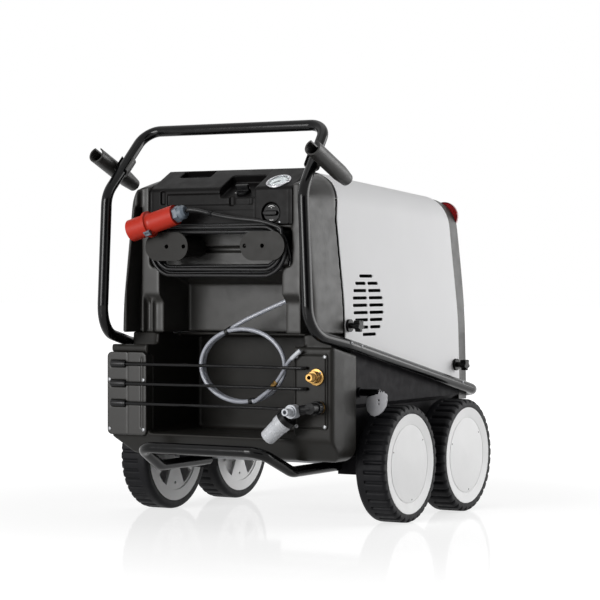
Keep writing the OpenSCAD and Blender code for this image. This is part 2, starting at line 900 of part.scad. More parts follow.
// Place on one turn with round ends, in 24 steps: 9 round each end and 3 along each side
function turn_pt(q, half, r) =
    q < 4.5 ? [half + r * cos(q * 20), r * sin(q * 20)]
    : q < 7.5 ? [half * (1 - 2 * (q - 4.5) / 3), r]
    : q < 16.5 ? [-half - r * sin((q - 7.5) * 20), r * cos((q - 7.5) * 20)]
    : q < 19.5 ? [half * (2 * (q - 16.5) / 3 - 1), -r]
    : [half + r * sin((q - 19.5) * 20), -r * cos((q - 19.5) * 20)];
function coil_pt(s) =
    let (k = abs(s), a = coil_out - (2 - k) * coil_pitch, up = 56 - (2 - k) * coil_pitch,
        down = 77 - (2 - k) * 15, r = (up + down) / 2, p = turn_pt((s - floor(s)) * 24, a - r, r))
        [p[0], coil_back + (coil_front - coil_back) * ease(2 * s + 0.5), hook_z + (up - down) / 2 + p[1]];
coil_pts = concat([coil_first, coil_first + [0, 0, 12]], [for (i = [0:97]) coil_pt(-2 + (i + 0.5) / 24)]);
coil_last = coil_pts[len(coil_pts) - 1];
coil_dir = unit(coil_last - coil_pts[len(coil_pts) - 2]);
echo(cord_coil_gap = wound_gap(coil_pts, cord_r, 8));

module cord_coil() {
    placed("#161617")
        tube(concat(coil_pts, [coil_last + coil_dir * 2 * cord_r]), cord_r, 6, [0, 1, 0]);
}

// Gland on the bay's floor that the cord comes out of
module cord_gland() {
    placed("#2a2a2c")
        translate([coil_first[0], coil_first[1], bay_low])
            cylinder(h = coil_first[2] - bay_low, r = cord_r + 2.5);
}

// Plug lying on the left hook, and the cord between it and the winding
plug_p = [-229.6, y_rear - 48.5, 745];
plug_q = [-96.4, y_rear - 48.5, 783.2];
plug_dir = unit(plug_q - plug_p);
plug_end = plug_p + plug_dir * 172;

module power_plug() {
    placed("#c8321f")
        aim(plug_p, plug_q)
            difference() {
                rotate_extrude()
                    polygon([[0, 44], [24, 44], [24, 0], [28.5, 0], [28.5, 50], [34, 52], [34, 60], [29, 62],
                        [26.5, 66], [26, 140], [0, 140]]);
                translate([0, 0, 42])
                    for (a = [0:72:288])
                        rotate([0, 0, a])
                            translate([14, 0, 0])
                                cylinder(h = 10, r = 3);
            }
}

module plug_gland() {
    placed("#6f7a86")
        aim(plug_p + plug_dir * 140, plug_end)
            difference() {
                union() {
                    cylinder(h = 14, r = 21, $fn = 6);
                    translate([0, 0, 14])
                        rotate_extrude()
                            polygon([[0, 0], [18, 0], [18, 11], [13, 18], [0, 18]]);
                }
                translate([0, 0, -1])
                    cylinder(h = 13, r = 8);
            }
}

tail_pts = [plug_end, plug_end + plug_dir * 12, [-28, -500, 793], [0, -493, 786], [30, -485, 779],
    [60, -478, 774], [90, -471.5, 770.5], [122, -466, 767], [150, -462.5, 761]];

module cord_tail() {
    placed("#161617")
        tube(concat(tail_pts, [coil_last + coil_dir * (2 * cord_r + 12), coil_last + coil_dir * 2 * cord_r]),
            cord_r, 8, [0, 1, 0]);
}

// Detergent hose

ring_c = [37, -402, 398];
ring_r = 103;
ring_step = 14;
function ring_pt(a) =
    ring_c + [ring_r * cos(a), -ring_step * (a - 115) / 360, ring_r * sin(a)];
ring_pts = [for (a = [115:15:685]) ring_pt(a)];
ring_dir_in = unit(ring_pts[1] - ring_pts[0]);
ring_dir_out = unit(ring_pts[len(ring_pts) - 1] - ring_pts[len(ring_pts) - 2]);
hose_start = ring_pts[0] - ring_dir_in * 2 * hose_r;
hose_stop = ring_pts[len(ring_pts) - 1] + ring_dir_out * 2 * hose_r;
couple_p = hose_stop + [18, -8, 24];
couple_q = couple_p + [14, -6, 16];
end_q = [222, -466, 424];
end_dir = unit([22, 0, 18]);
echo(hose_coil_gap = wound_gap(ring_pts, hose_r, 6));

module hose_coil() {
    placed("#a9adb8")
        tube(concat([hose_start], ring_pts, [hose_stop]), hose_r, 6, [0, 1, 0]);
}

// Free stretches: from the recess wall to the winding, and from the winding to the strainer
module detergent_hose() {
    placed("#a9adb8") {
        tube([[recess_half, -380, 572], [recess_half - 14, -380, 572], [150, -382, 561], [110, -388, 545],
            [60, -394, 523], [25, -398, 507], hose_start - ring_dir_in * 10, hose_start], hose_r, 8, [0, 1, 0]);
        tube([hose_stop, hose_stop + ring_dir_out * 8, couple_p - unit(couple_q - couple_p) * 6, couple_p],
            hose_r, 8, [0, 1, 0]);
        tube([couple_q, couple_q + unit(couple_q - couple_p) * 6, [178, -451, 397], [198, -460, 409],
            end_q - end_dir * 8, end_q], hose_r - 0.7, 8, [0, 1, 0]);
    }
}

module hose_ties() {
    placed("#101012")
        for (a = [130, 310])
            translate([ring_c[0], 0, ring_c[2]])
                rotate([0, -a, 0])
                    translate([ring_r, ring_c[1] - ring_step * (a - 115) / 360, -3])
                        linear_extrude(6)
                            difference() {
                                tie_outline(hose_r + 2);
                                tie_outline(hose_r + gap);
                            }
}

module tie_outline(r) {
    translate([-r, -ring_step])
        square([2 * r, ring_step]);
    circle(r);
    translate([0, -ring_step])
        circle(r);
}

module hose_coupling() {
    placed("#c79a3c")
        aim(couple_p, couple_q)
            rotate_extrude()
                polygon([[0, 0], [7, 0], [7, 6], [5.5, 7], [5.5, 14], [7, 15], [7, norm(couple_q - couple_p)],
                    [0, norm(couple_q - couple_p)]]);
}

module suction_strainer() {
    placed("#1a1a1b")
        aim(end_q, end_q + end_dir)
            rotate_extrude()
                polygon([[0, 0], [5.5, 0], [6, 6], [6, 30], [5, 34], [0, 34]]);
}

// Water connections

module outlet_fitting() {
    placed("#c8a040")
        translate(outlet_p)
            rotate([90, 0, 0])
                difference() {
                    union() {
                        cylinder(h = 5, r = 21);
                        cylinder(h = 14, r = 15);
                        translate([0, 0, 14])
                            cylinder(h = 10, r = 15.5, $fn = 6);
                        cylinder(h = 40, r = outlet_r);
                        translate([0, 0, -30])
                            cylinder(h = 31, r = 11.9);
                    }
                    translate([0, 0, -10])
                        cylinder(h = 60, r = outlet_r - 6);
                }
}

module inlet_fitting() {
    placed("#c8a040")
        translate(inlet_p)
            rotate([90, 0, 0]) {
                cylinder(h = 8, r = 16);
                cylinder(h = 24, r = 11);
                translate([0, 0, -30])
                    cylinder(h = 31, r = 11.9);
            }
}

// Union nut that turns on the inlet
module inlet_nut() {
    placed("#1d1d1f")
        translate(inlet_p)
            rotate([90, 0, 0])
                translate([0, 0, 8 + gap])
                    difference() {
                        cylinder(h = 18, r = 17);
                        translate([0, 0, -1])
                            cylinder(h = 20, r = 11 + run);
                        for (a = [0:30:330])
                            rotate([0, 0, a])
                                translate([18.5, 0, -1])
                                    cylinder(h = 20, r = 2.6);
                    }
}

filter_c = inlet_p + [-46, -46, -8];
cup_dir = unit([-0.72, -0.06, -0.66]);

// Filter head between the union nut, the spigot body and the cup's collar
module filter_head() {
    face = inlet_p + [0, -26 - 2 * gap, 0];
    placed("#1d1d1f")
        difference() {
            union() {
                bar_y(face[1] - 24, face[1], face[0], face[2], 14);
                rod([face[0], face[1] - 13, face[2]], [filter_c[0], face[1] - 13, filter_c[2]], 12);
                rod(filter_c + [0, 2, 0], filter_c + cup_dir * 36 + [0, 2, 0], 14);
                rod(filter_c + cup_dir * 22, filter_c + cup_dir * 36, cup_r + 1);
            }
            bar_y(filter_c[1] - 60, filter_c[1] + 6, filter_c[0], filter_c[2], 17 + gap);
        }
}

module filter_inlet() {
    placed("#d5d7da")
        translate(filter_c + [0, 6, 0])
            rotate([90, 0, 0])
                difference() {
                    union() {
                        cylinder(h = 24, r = 17);
                        cylinder(h = 30, r = 13);
                        cylinder(h = 52, r = spigot_r);
                    }
                    translate([0, 0, 10])
                        cylinder(h = 60, r = spigot_r - 4);
                }
}

// Clear cup that screws off along its own axis
module filter_cup() {
    placed("#dfe1e4")
        aim(filter_c + cup_dir * (36 + gap), filter_c + cup_dir * 120)
            difference() {
                rotate_extrude()
                    polygon([[0, 0], [cup_r, 0], [cup_r, 16], [cup_r - 2, 18], [cup_r - 4, cup_len - 3],
                        [cup_r - 7, cup_len], [0, cup_len]]);
                for (a = [0:45:315])
                    rotate([0, 0, a])
                        translate([cup_r - 1, 0, 22])
                            cylinder(h = cup_len, r = 1.6);
            }
}

// Gun holders

holder_p = [kink_half + (handle_half - kink_half) * 0.46 + tube_r + holder_r + 3.2, -532, 940];
holder_q = [holder_p[0], -369, 872];

// Slotted tube, open at the rear, on a clamp round the handle
module gun_holder(sx) {
    dir = unit(holder_q - holder_p);
    leg_p = [kink_half, -leg_back, kink_z];
    leg_q = [handle_half, -handle_back, handle_z];
    mid = leg_p + (leg_q - leg_p) * 0.46;
    placed("#1a1a1c")
        mirror([sx < 0 ? 1 : 0, 0, 0])
            difference() {
                union() {
                    aim(holder_p, holder_q)
                        rotate_extrude()
                            polygon([[0, 0], [holder_r, 0], [holder_r, holder_len - 45],
                                [holder_r - 4, holder_len - 6],
                                [holder_r - 9, holder_len], [0, holder_len]]);
                    rod(mid - unit(leg_q - leg_p) * 22, mid + unit(leg_q - leg_p) * 22, tube_r + 6);
                }
                aim(holder_p - dir, holder_q)
                    cylinder(h = holder_len - 55, r = holder_bore);
                aim(holder_p - dir, holder_q)
                    translate([-holder_r - 30, -8, 0])
                        cube([holder_r + 30, 16, 40]);
                rod(leg_p, leg_q, tube_r + run);
                rod(leg_p - [0, 12, 0], leg_q - [0, 12, 0], tube_r + 3);
            }
}

// Controls

// Frame on the sloping panel: X across, Y up the slope, Z out of the surface
module on_panel(x, s) {
    translate([x, y_face, panel_z])
        rotate([panel_slope, 0, 0])
            translate([0, s, 0])
                children();
}

// Points round a corner at p whose two faces have normals at the angles a0 and a1
function round_pts(p, r, a0, a1) =
    let (n0 = [cos(a0), sin(a0)], n1 = [cos(a1), sin(a1)], c = p - r * (n0 + n1) / (1 + n0 * n1))
        [for (i = [0:5]) c + r * [cos(a0 + (a1 - a0) * i / 5), sin(a0 + (a1 - a0) * i / 5)]];

module panel_side(inset) {
    low = bay_high + 8 + gap;
    if (inset > 0)
        polygon([[y_face + inset, low], [y_face + inset, panel_z - inset], panel_top - [inset, inset],
            [panel_top[0] - inset, low]]);
    else
        polygon(concat([[y_face, low]], round_pts([y_face, panel_z], 14, 180, 90 + panel_slope),
            round_pts(panel_top, 8, 90 + panel_slope, 0), [[panel_top[0], low]]));
}

// Control panel: sloping cover with switch scoop, tray, gauge seat and dosing seat
module control_panel() {
    placed("#302f2e")
        difference() {
            along_x(-panel_half, panel_half)
                panel_side(0);
            difference() {
                along_x(-panel_half + wall, panel_half - wall)
                    panel_side(wall);
                on_panel(0, 0)
                    translate([-6, -10, -30])
                        cube([114, 90, 40]);
                on_panel(0, 0)
                    translate([-168, 63, -24])
                        cube([107, 56, 40]);
                on_panel(gauge_x, gauge_s)
                    translate([0, 0, -34])
                        cylinder(h = 40, r = gauge_r + 5);
                bar_y(y_face - 1, y_face + 24, dose_x, dose_z, dose_r + 8);
            }
            on_panel(0, 0)
                translate([0, -20, -22])
                    linear_extrude(60)
                        round_rect([0, 0], [102, 93], 10);
            on_panel(0, 0)
                translate([-162, 69, -18])
                    linear_extrude(60)
                        round_rect([0, 0], [95, 37], 6);
            on_panel(gauge_x, gauge_s)
                translate([0, 0, -28])
                    cylinder(h = 60, r = gauge_r + run);
            on_panel(switch_x, switch_s)
                translate([0, 0, -60])
                    cylinder(h = 60, r = 5 + run);
            bar_y(y_face - 1, y_face + 12, dose_x, dose_z, dose_r + 2);
            bar_y(y_face - 1, y_face + 40, dose_x, dose_z, 5 + run);
        }
}

// Main switch knob on its shaft in the scoop
module switch_knob() {
    placed("#111113")
        on_panel(switch_x, switch_s)
            translate([0, 0, -22 + gap]) {
                cylinder(h = 8, r = switch_r);
                translate([-switch_r, -5, 7])
                    cube([2 * switch_r, 10, 15]);
                translate([0, 0, -14])
                    cylinder(h = 15, r = 5);
            }
}

// Dosing knob with a finger bar, sunk into the rear face
module dosing_knob() {
    placed("#111113")
        translate([dose_x, y_face + 12 - gap, dose_z])
            rotate([90, 0, 0]) {
                cylinder(h = 8, r = dose_r);
                translate([-dose_r + 4, -5, 7])
                    cube([2 * dose_r - 8, 10, 10]);
                translate([0, 0, -14])
                    cylinder(h = 15, r = 5);
            }
}

// Pressure gauge: case, dial, needle and glass
module gauge_case() {
    placed("#c9c9cc")
        on_panel(gauge_x, gauge_s)
            translate([0, 0, -28])
                difference() {
                    union() {
                        cylinder(h = 29, r = gauge_r);
                        translate([0, 0, 28 + gap])
                            cylinder(h = 4, r = gauge_r + 3);
                    }
                    translate([0, 0, 16])
                        cylinder(h = 20, r = gauge_r - 3);
                }
}
module gauge_dial() {
    placed("#f2f2f2")
        on_panel(gauge_x, gauge_s)
            translate([0, 0, -12])
                difference() {
                    cylinder(h = 2, r = gauge_r - 3 - run);
                    translate([0, 0, -1])
                        cylinder(h = 4, r = 2 + run);
                }
}
module gauge_needle() {
    placed("#121212")
        on_panel(gauge_x, gauge_s)
            rotate([0, 0, 225]) {
                translate([0, 0, -12 + gap])
                    cylinder(h = 6, r = 2);
                translate([-7, -1, -9])
                    cube([gauge_r - 3, 2, 1.5]);
            }
}
module gauge_glass() {
    placed("#dfe8ee")
        on_panel(gauge_x, gauge_s)
            translate([0, 0, 1])
                cylinder(h = 2.5, r = gauge_r - 3 - run);
}

// Star knob that clamps the hood, on a round base
module hood_knob(sx, k) {
    x0 = side_at(k[2] + (k[1] + hood_back) * tan(hood_fall)) + 1;
    placed("#141416")
        mirror([sx < 0 ? 1 : 0, 0, 0])
            translate([x0, k[1], k[2]])
                rotate([0, 90, 0]) {
                    cylinder(h = 6, r = 16);
                    cylinder(h = 30, r = 7);
                    translate([0, 0, 20])
                        linear_extrude(16) {
                            circle(11);
                            for (a = [0:72:288])
                                rotate([0, 0, a])
                                    translate([11, 0])
                                        circle(4.5);
                        }
                    translate([0, 0, -20])
                        cylinder(h = 21, r = 5);
                }
}

// Parking brake pedal that swings down in front of the right rear tyre
module brake_pedal() {
    x0 = panel_half_w + 6 + gap;
    reach = norm([-side_y - brake_y, wheel_r - brake_z]) - wheel_r - 2;
    placed("#9a9ca0")
        difference() {
            union() {
                bar_x(x0, x0 + 68, brake_y, brake_z, 9);
                along_y(brake_y - 8, brake_y - 4)
                    round_poly([[x0 + 4, brake_z - reach], [x0 + 64, brake_z - reach + 16], [x0 + 68, brake_z + 8],
                        [x0, brake_z + 8]], [16, 16, 4, 4]);
            }
            bar_x(x0 - 1, x0 + 80, brake_y, brake_z, 5 + run);
        }
}

// Drive and water supply under the hood

module motor() {
    z = tray_z + wall + 118;
    placed("#3c4a5c") {
        difference() {
            union() {
                bar_y(-98, 150, 0, z, 92);
                bar_y(150, 196, 0, z, 98);
                for (y = [-80, 90])
                    translate([-95, y, tray_z + wall])
                        cube([190, 36, 60]);
                translate([-45, -20, z + 60])
                    cube([90, 110, 55]);
            }
            for (a = [0:20:340])
                translate([0, 0, z])
                    rotate([0, a, 0])
                        translate([84, -60, -3])
                            cube([20, 190, 6]);
        }
    }
}

module pump() {
    z = tray_z + wall + 118;
    back = y_rear + bin_deep + wall + 4;
    placed("#b8bcc0") {
        translate([-75, back, z - 70])
            cube([150, -98 - back, 140]);
        translate([-70, back + 8, z + 70])
            cube([140, 62, 60]);
        for (x = [-45, 0, 45])
            translate([x, back + 39, z + 130])
                cylinder(h = 14, r = 16);
    }
}

module water_tank() {
    placed("#202226")
        translate([tank_x, -150, tray_z + wall])
            linear_extrude(190)
                round_rect([0, 0], [-112 - tank_x, 330], 18);
}

// Pressure pipe from the pump to the outlet, and feed pipe from the inlet to the tank
module pipes() {
    y1 = y_rear + bin_deep + wall + 43;
    feed = inlet_p + feed_shift;
    placed("#1a1b1d") {
        bent_bar([outlet_p + [0, 30, 0], [outlet_p[0], y1, outlet_p[2]], [70, y1, outlet_p[2]]], [0, 40, 0], 9);
        bent_bar([inlet_p + [0, 30, 0], inlet_p + [0, 54, 0], [feed[0], tray_y - 20, feed[2]],
            [feed[0], 240, feed[2]], [tank_x + 70, 240, feed[2]], [tank_x + 70, 180, feed[2]]],
            [0, 30, 30, 45, 30, 0], 9);
    }
}

chassis_tray();
rear_bin();
rear_housing();
control_panel();
hood();
front_cover();
reflectors();
push_handle();
side_rails();
front_bumper();
foot_bar();
rod_clip_box();
connection_plate();
retaining_rods();
rod_tips();
screws();
cord_hooks();
cord_gland();
cord_coil();
cord_tail();
power_plug();
plug_gland();
outlet_fitting();
inlet_fitting();
inlet_nut();
filter_head();
filter_inlet();
filter_cup();
detergent_hose();
hose_coil();
hose_ties();
hose_coupling();
suction_strainer();
gun_holder(-1);  // gun_holder_left
gun_holder(1);  // gun_holder_right
switch_knob();
dosing_knob();
gauge_case();
gauge_dial();
gauge_needle();
gauge_glass();
hood_knob(1, hood_knobs[0]);  // hood_knob_rear_right
hood_knob(1, hood_knobs[1]);  // hood_knob_front_right
hood_knob(-1, hood_knobs[0]);  // hood_knob_rear_left
hood_knob(-1, hood_knobs[1]);  // hood_knob_front_left
axles();
wheel(1, -1);  // wheel_rear_right
wheel(1, 1);  // wheel_front_right
wheel(-1, -1);  // wheel_rear_left
wheel(-1, 1);  // wheel_front_left
tyre(1, -1);  // tyre_rear_right
tyre(1, 1);  // tyre_front_right
tyre(-1, -1);  // tyre_rear_left
tyre(-1, 1);  // tyre_front_left
brake_pedal();
motor();
pump();
water_tank();
pipes();
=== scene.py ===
import math

import bmesh
import bpy
from mathutils import Matrix, Vector


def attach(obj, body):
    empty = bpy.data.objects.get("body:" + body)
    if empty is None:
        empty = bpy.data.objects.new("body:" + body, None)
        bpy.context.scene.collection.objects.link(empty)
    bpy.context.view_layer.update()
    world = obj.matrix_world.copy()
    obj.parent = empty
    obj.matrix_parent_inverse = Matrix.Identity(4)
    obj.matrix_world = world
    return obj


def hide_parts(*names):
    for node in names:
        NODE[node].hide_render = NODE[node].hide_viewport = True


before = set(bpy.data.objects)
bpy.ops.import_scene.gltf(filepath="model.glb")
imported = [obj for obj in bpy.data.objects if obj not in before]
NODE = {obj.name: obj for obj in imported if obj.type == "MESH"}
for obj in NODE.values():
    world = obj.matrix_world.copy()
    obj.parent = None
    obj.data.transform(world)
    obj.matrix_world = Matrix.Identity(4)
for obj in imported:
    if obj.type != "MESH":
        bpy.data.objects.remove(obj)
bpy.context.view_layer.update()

scene = bpy.context.scene
scene.view_settings.view_transform = "Standard"

# Sizes of pieces are in millimetres in the source's axle frame, and mm() moves them to the row frame.
# The camera, the floor and the lamps are in metres in the row frame.
SHIFT = 84.0


def mm(x, y, z):
    return Vector((x / 1000, (y + SHIFT) / 1000, z / 1000))


# Camera, fitted to the photo's wheels, handle and hood

CAMERA_AT, CAMERA_LENS = (2.9689, -5.0406, 0.6186), 131.46
CAMERA_DOWN, CAMERA_TURN = 0.52, 30.3

cam = bpy.data.objects.new("camera", bpy.data.cameras.new("camera"))
cam.data.sensor_width = 36
cam.data.lens = CAMERA_LENS
cam.location = CAMERA_AT
cam.rotation_euler = (math.radians(90 - CAMERA_DOWN), 0, math.radians(CAMERA_TURN))
scene.collection.objects.link(cam)
scene.camera = cam


# Materials

def srgb(r, g, b):
    def linear(c):
        c /= 255
        return c / 12.92 if c <= 0.04045 else ((c + 0.055) / 1.055) ** 2.4
    return (linear(r), linear(g), linear(b), 1)


def shade(colour, k):
    return tuple(min(1, c * k) for c in colour[:3]) + (1,)


def ranged(tree, value, from_min, from_max, to_min, to_max, curve="LINEAR"):
    """A value of a node tree, mapped from one range to another."""
    node = tree.nodes.new("ShaderNodeMapRange")
    node.interpolation_type = curve
    for socket, limit in (("From Min", from_min), ("From Max", from_max), ("To Min", to_min), ("To Max", to_max)):
        node.inputs[socket].default_value = limit
    tree.links.new(value, node.inputs["Value"])
    return node.outputs["Result"]


class Look:
    """Principled material with colour drift, uneven gloss, moulded grain and softened edges.

    Sizes are in millimetres; drift and uneven are shares either way of the colour and the roughness.
    """

    MIDDLE = (0.3, 0.7)         # the part of a noise's range that is used
    GRAIN_DEPTH = 0.0004
    GLOSS_FINER = 2.3           # how much finer the gloss drifts than the colour
    LEAST_ROUGH, COAT_ROUGH = 0.02, 0.08
    WORN = srgb(150, 150, 152)
    EDGE_FROM, EDGE_TO = 0.995, 0.8

    def __init__(self, name, colour, rough, metal=0.0, drift=0.08, drift_size=60, grain=0.2, grain_size=1.2,
                 uneven=0.06, specular=0.5, coat=0.0, edge=0.8, wear=0.0):
        self.mat = bpy.data.materials.new(name)
        self.mat.use_nodes = True
        self.mat.diffuse_color = colour
        self.tree = self.mat.node_tree
        self.shader = self.tree.nodes["Principled BSDF"]
        self.set("Metallic", metal)
        self.set("Specular IOR Level", specular)
        self.set("Coat Weight", coat)
        self.set("Coat Roughness", self.COAT_ROUGH)
        self.place = self.node("ShaderNodeTexCoord").outputs["Object"]
        ramp = self.node("ShaderNodeValToRGB")
        for stop, at, k in zip(ramp.color_ramp.elements, self.MIDDLE, (1 - drift, 1 + drift)):
            stop.position, stop.color = at, shade(colour, k)
        self.link(self.noise(1000 / drift_size, 4), ramp.inputs["Fac"])
        self.colour = ramp.outputs["Color"]
        bevel = self.node("ShaderNodeBevel")
        bevel.samples = 4
        bevel.inputs["Radius"].default_value = edge / 1000
        if wear:
            self.worn(bevel, wear)
        self.link(self.colour, self.shader.inputs["Base Color"])
        gloss = ranged(self.tree, self.noise(1000 / drift_size * self.GLOSS_FINER, 5), *self.MIDDLE,
                       max(self.LEAST_ROUGH, rough - uneven), min(1, rough + uneven))
        self.link(gloss, self.shader.inputs["Roughness"])
        bump = self.node("ShaderNodeBump")
        bump.inputs["Strength"].default_value = grain
        bump.inputs["Distance"].default_value = self.GRAIN_DEPTH
        self.link(self.noise(1000 / grain_size, 2), bump.inputs["Height"])
        self.link(bevel.outputs["Normal"], bump.inputs["Normal"])
        self.link(bump.outputs["Normal"], self.shader.inputs["Normal"])

    def node(self, kind):
        return self.tree.nodes.new(kind)

    def link(self, a, b):
        self.tree.links.new(a, b)

    def set(self, socket, value):
        self.shader.inputs[socket].default_value = value

    def noise(self, scale, detail):
        n = self.node("ShaderNodeTexNoise")
        n.inputs["Scale"].default_value = scale
        n.inputs["Detail"].default_value = detail
        self.link(self.place, n.inputs["Vector"])
        return n.outputs["Fac"]

    def worn(self, bevel, amount):
        """Paler where an edge turns, as handled paint and plastic get."""
        plain = self.node("ShaderNodeNewGeometry").outputs["Normal"]
        dot = self.node("ShaderNodeVectorMath")
        dot.operation = "DOT_PRODUCT"
        self.link(plain, dot.inputs[0])
        self.link(bevel.outputs["Normal"], dot.inputs[1])
        mix = self.node("ShaderNodeMix")
        mix.data_type = "RGBA"
        mask = ranged(self.tree, dot.outputs["Value"], self.EDGE_FROM, self.EDGE_TO, 0, amount)
        self.link(mask, mix.inputs["Factor"])
        self.link(self.colour, mix.inputs["A"])
        mix.inputs["B"].default_value = self.WORN
        self.colour = mix.outputs["Result"]


LOOK = {}


def add_look(name, colour, rough, **more):
    LOOK[name] = Look(name, srgb(*colour), rough, **more)


# Looks with a slot's name are that slot's; bin_black, tray_black and plate_grey are further ones
add_look("black_moulding", (34, 33, 31), 0.42, grain=0.12, grain_size=1.0, specular=0.36, wear=0.05)
add_look("bin_black", (33, 32, 30), 0.38, grain=0.12, grain_size=1.0, specular=0.12, wear=0.05)
# panel_black is the housing's black plastic made darker: painted shade for the panel's slope, which faces away from the
# lamps
add_look("panel_black", (12, 11, 11), 0.42, grain=0.1, grain_size=0.9, specular=0.08, wear=0.04)
add_look("hood_silver", (224, 224, 225), 0.55, drift=0.012, drift_size=160, grain=0.05, grain_size=0.8,
         specular=0.3, uneven=0.015)
add_look("tray_black", (13, 12, 15), 0.66, grain=0.35, grain_size=1.6, specular=0.1, wear=0.04)
add_look("red_lens", (190, 20, 24), 0.12, drift=0.15, drift_size=12, coat=1.0, grain=0.05)
add_look("frame_black", (8, 8, 9), 0.16, grain=0.01, grain_size=2.5, specular=0.2, uneven=0.03)
add_look("rubber_black", (17, 17, 18), 0.32, grain=0.12, grain_size=0.7, specular=0.22)
add_look("zinc_steel", (136, 137, 139), 0.45, metal=1.0, drift=0.1, drift_size=8, grain=0.1, grain_size=0.5, edge=0.4)
add_look("plug_red", (168, 38, 20), 0.45, drift=0.05, grain=0.1, grain_size=0.8, specular=0.25)
add_look("gland_grey", (92, 102, 112), 0.4, drift=0.06, grain=0.15, grain_size=0.8)
add_look("brass_fitting", (142, 112, 66), 0.36, metal=1.0, drift=0.12, drift_size=9, grain=0.08, grain_size=0.4,
         edge=0.4)
add_look("knob_black", (9, 9, 10), 0.36, grain=0.15, grain_size=0.7, specular=0.12, wear=0.05)
add_look("filter_grey", (180, 183, 188), 0.3, drift=0.05, grain=0.1)
add_look("cup_clear", (206, 208, 212), 0.25, drift=0.05, drift_size=20, grain=0.05)
add_look("hose_clear", (172, 175, 184), 0.22, drift=0.06, drift_size=25, grain=0.04)
add_look("gauge_chrome", (190, 190, 194), 0.16, metal=1.0, drift=0.03, grain=0.0, edge=0.02)
add_look("dial_white", (232, 232, 230), 0.5, drift=0.02, grain=0.03)
add_look("needle_black", (22, 22, 22), 0.5, grain=0.1, edge=0.2)
add_look("gauge_pane", (240, 244, 246), 0.05, drift=0.01, grain=0.0, uneven=0.02, edge=0.02)
add_look("wheel_white", (234, 234, 234), 0.4, drift=0.02, drift_size=80, grain=0.12, grain_size=0.9, specular=0.4)
add_look("tyre_black", (10, 10, 13), 0.58, drift=0.12, drift_size=30, grain=0.4, grain_size=1.4, specular=0.16)
add_look("plate_grey", (150, 150, 153), 0.5, metal=0.4, drift=0.06, drift_size=14, grain=0.2)
add_look("motor_grey", (122, 130, 142), 0.5, drift=0.06, grain=0.35, grain_size=1.6)
add_look("pump_aluminium", (176, 178, 182), 0.42, metal=1.0, drift=0.08, grain=0.35, grain_size=1.4)
for name, clear in (("cup_clear", 0.25), ("hose_clear", 0.35), ("gauge_pane", 1.0), ("red_lens", 0.35)):
    LOOK[name].set("Transmission Weight", clear)
LOOK["cup_clear"].set("IOR", 1.4)
LOOK["gauge_pane"].set("IOR", 1.15)

LOOK_OF = {}
for name, nodes in {
    "black_moulding": "rear_bin rear_housing front_cover rod_clip_box gun_holder_left "
                      "gun_holder_right connection_plate",
    "tray_black": "chassis_tray",
    "panel_black": "control_panel",
    "bin_black": "cord_hooks",
    "hood_silver": "hood",
    "red_lens": "reflectors",
    "frame_black": "push_handle side_rails front_bumper foot_bar retaining_rods",
    "rubber_black": "cord_coil cord_tail cord_gland hose_ties rod_tips",
    "zinc_steel": "screws axles pipes",
    "plate_grey": "brake_pedal",
    "plug_red": "power_plug",
    "gland_grey": "plug_gland",
    "brass_fitting": "outlet_fitting inlet_fitting hose_coupling",
    "knob_black": "switch_knob dosing_knob inlet_nut filter_head hood_knob_rear_right hood_knob_front_right "
                  "hood_knob_rear_left hood_knob_front_left",
    "filter_grey": "filter_inlet suction_strainer",
    "cup_clear": "filter_cup",
    "hose_clear": "detergent_hose hose_coil",
    "gauge_chrome": "gauge_case",
    "dial_white": "gauge_dial",
    "needle_black": "gauge_needle",
    "gauge_pane": "gauge_glass",
    "wheel_white": "wheel_rear_right wheel_front_right wheel_rear_left wheel_front_left",
    "tyre_black": "tyre_rear_right tyre_front_right tyre_rear_left tyre_front_left",
    "motor_grey": "motor water_tank",
    "pump_aluminium": "pump",
}.items():
    for n in nodes.split():
        LOOK_OF[n] = name


def dress(obj, name):
    obj.data.materials.clear()
    obj.data.materials.append(LOOK[name].mat)


def polish(obj, angle=32):
    """Smooth shading with crisp corners, by modifiers only."""
    obj.data.shade_smooth()
    weld = obj.modifiers.new("weld", "WELD")
    weld.merge_threshold = 1e-5
    split = obj.modifiers.new("corners", "EDGE_SPLIT")
    split.split_angle = math.radians(angle)
    split.use_edge_sharp = False


for n, o in NODE.items():
    dress(o, LOOK_OF[n])
    polish(o)


def piece(obj, body, slot, *stands_for, look=None):
    """A new object of the scene: it rides on a body, takes a slot's finish and may stand for CAD nodes."""
    dress(obj, look or slot)
    if obj.name not in scene.collection.objects:
        scene.collection.objects.link(obj)
    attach(obj, body)
    if stands_for:
        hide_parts(*stands_for)
    return obj


# Mouldings: solids that are joined, cut and then softened all over, as moulded parts are

def skinned(name, rings, endless=False):
    """Object through rings of equal length, capped at both ends or closed on itself."""
    bm = bmesh.new()
    loops = [[bm.verts.new(v) for v in ring] for ring in rings]
    for a, b in zip(loops, loops[1:] + loops[:1] if endless else loops[1:]):
        for i in range(len(a)):
            j = (i + 1) % len(a)
            bm.faces.new((a[i], a[j], b[j], b[i]))
    if not endless:
        bm.faces.new(loops[0][::-1])
        bm.faces.new(loops[-1])
    bmesh.ops.recalc_face_normals(bm, faces=bm.faces)
    data = bpy.data.meshes.new(name)
    bm.to_mesh(data)
    bm.free()
    obj = bpy.data.objects.new(name, data)
    scene.collection.objects.link(obj)
    return obj


def solid(rings):
    return skinned("form", rings)


def prism(outline, axis, lo, hi, place=mm):
    """Outline in the two other axes, drawn out along an axis."""
    def at(p, t):
        v = [p[0], p[1]]
        v.insert(axis, t)
        return place(*v)
    return solid([[at(p, t) for p in outline] for t in (lo, hi)])


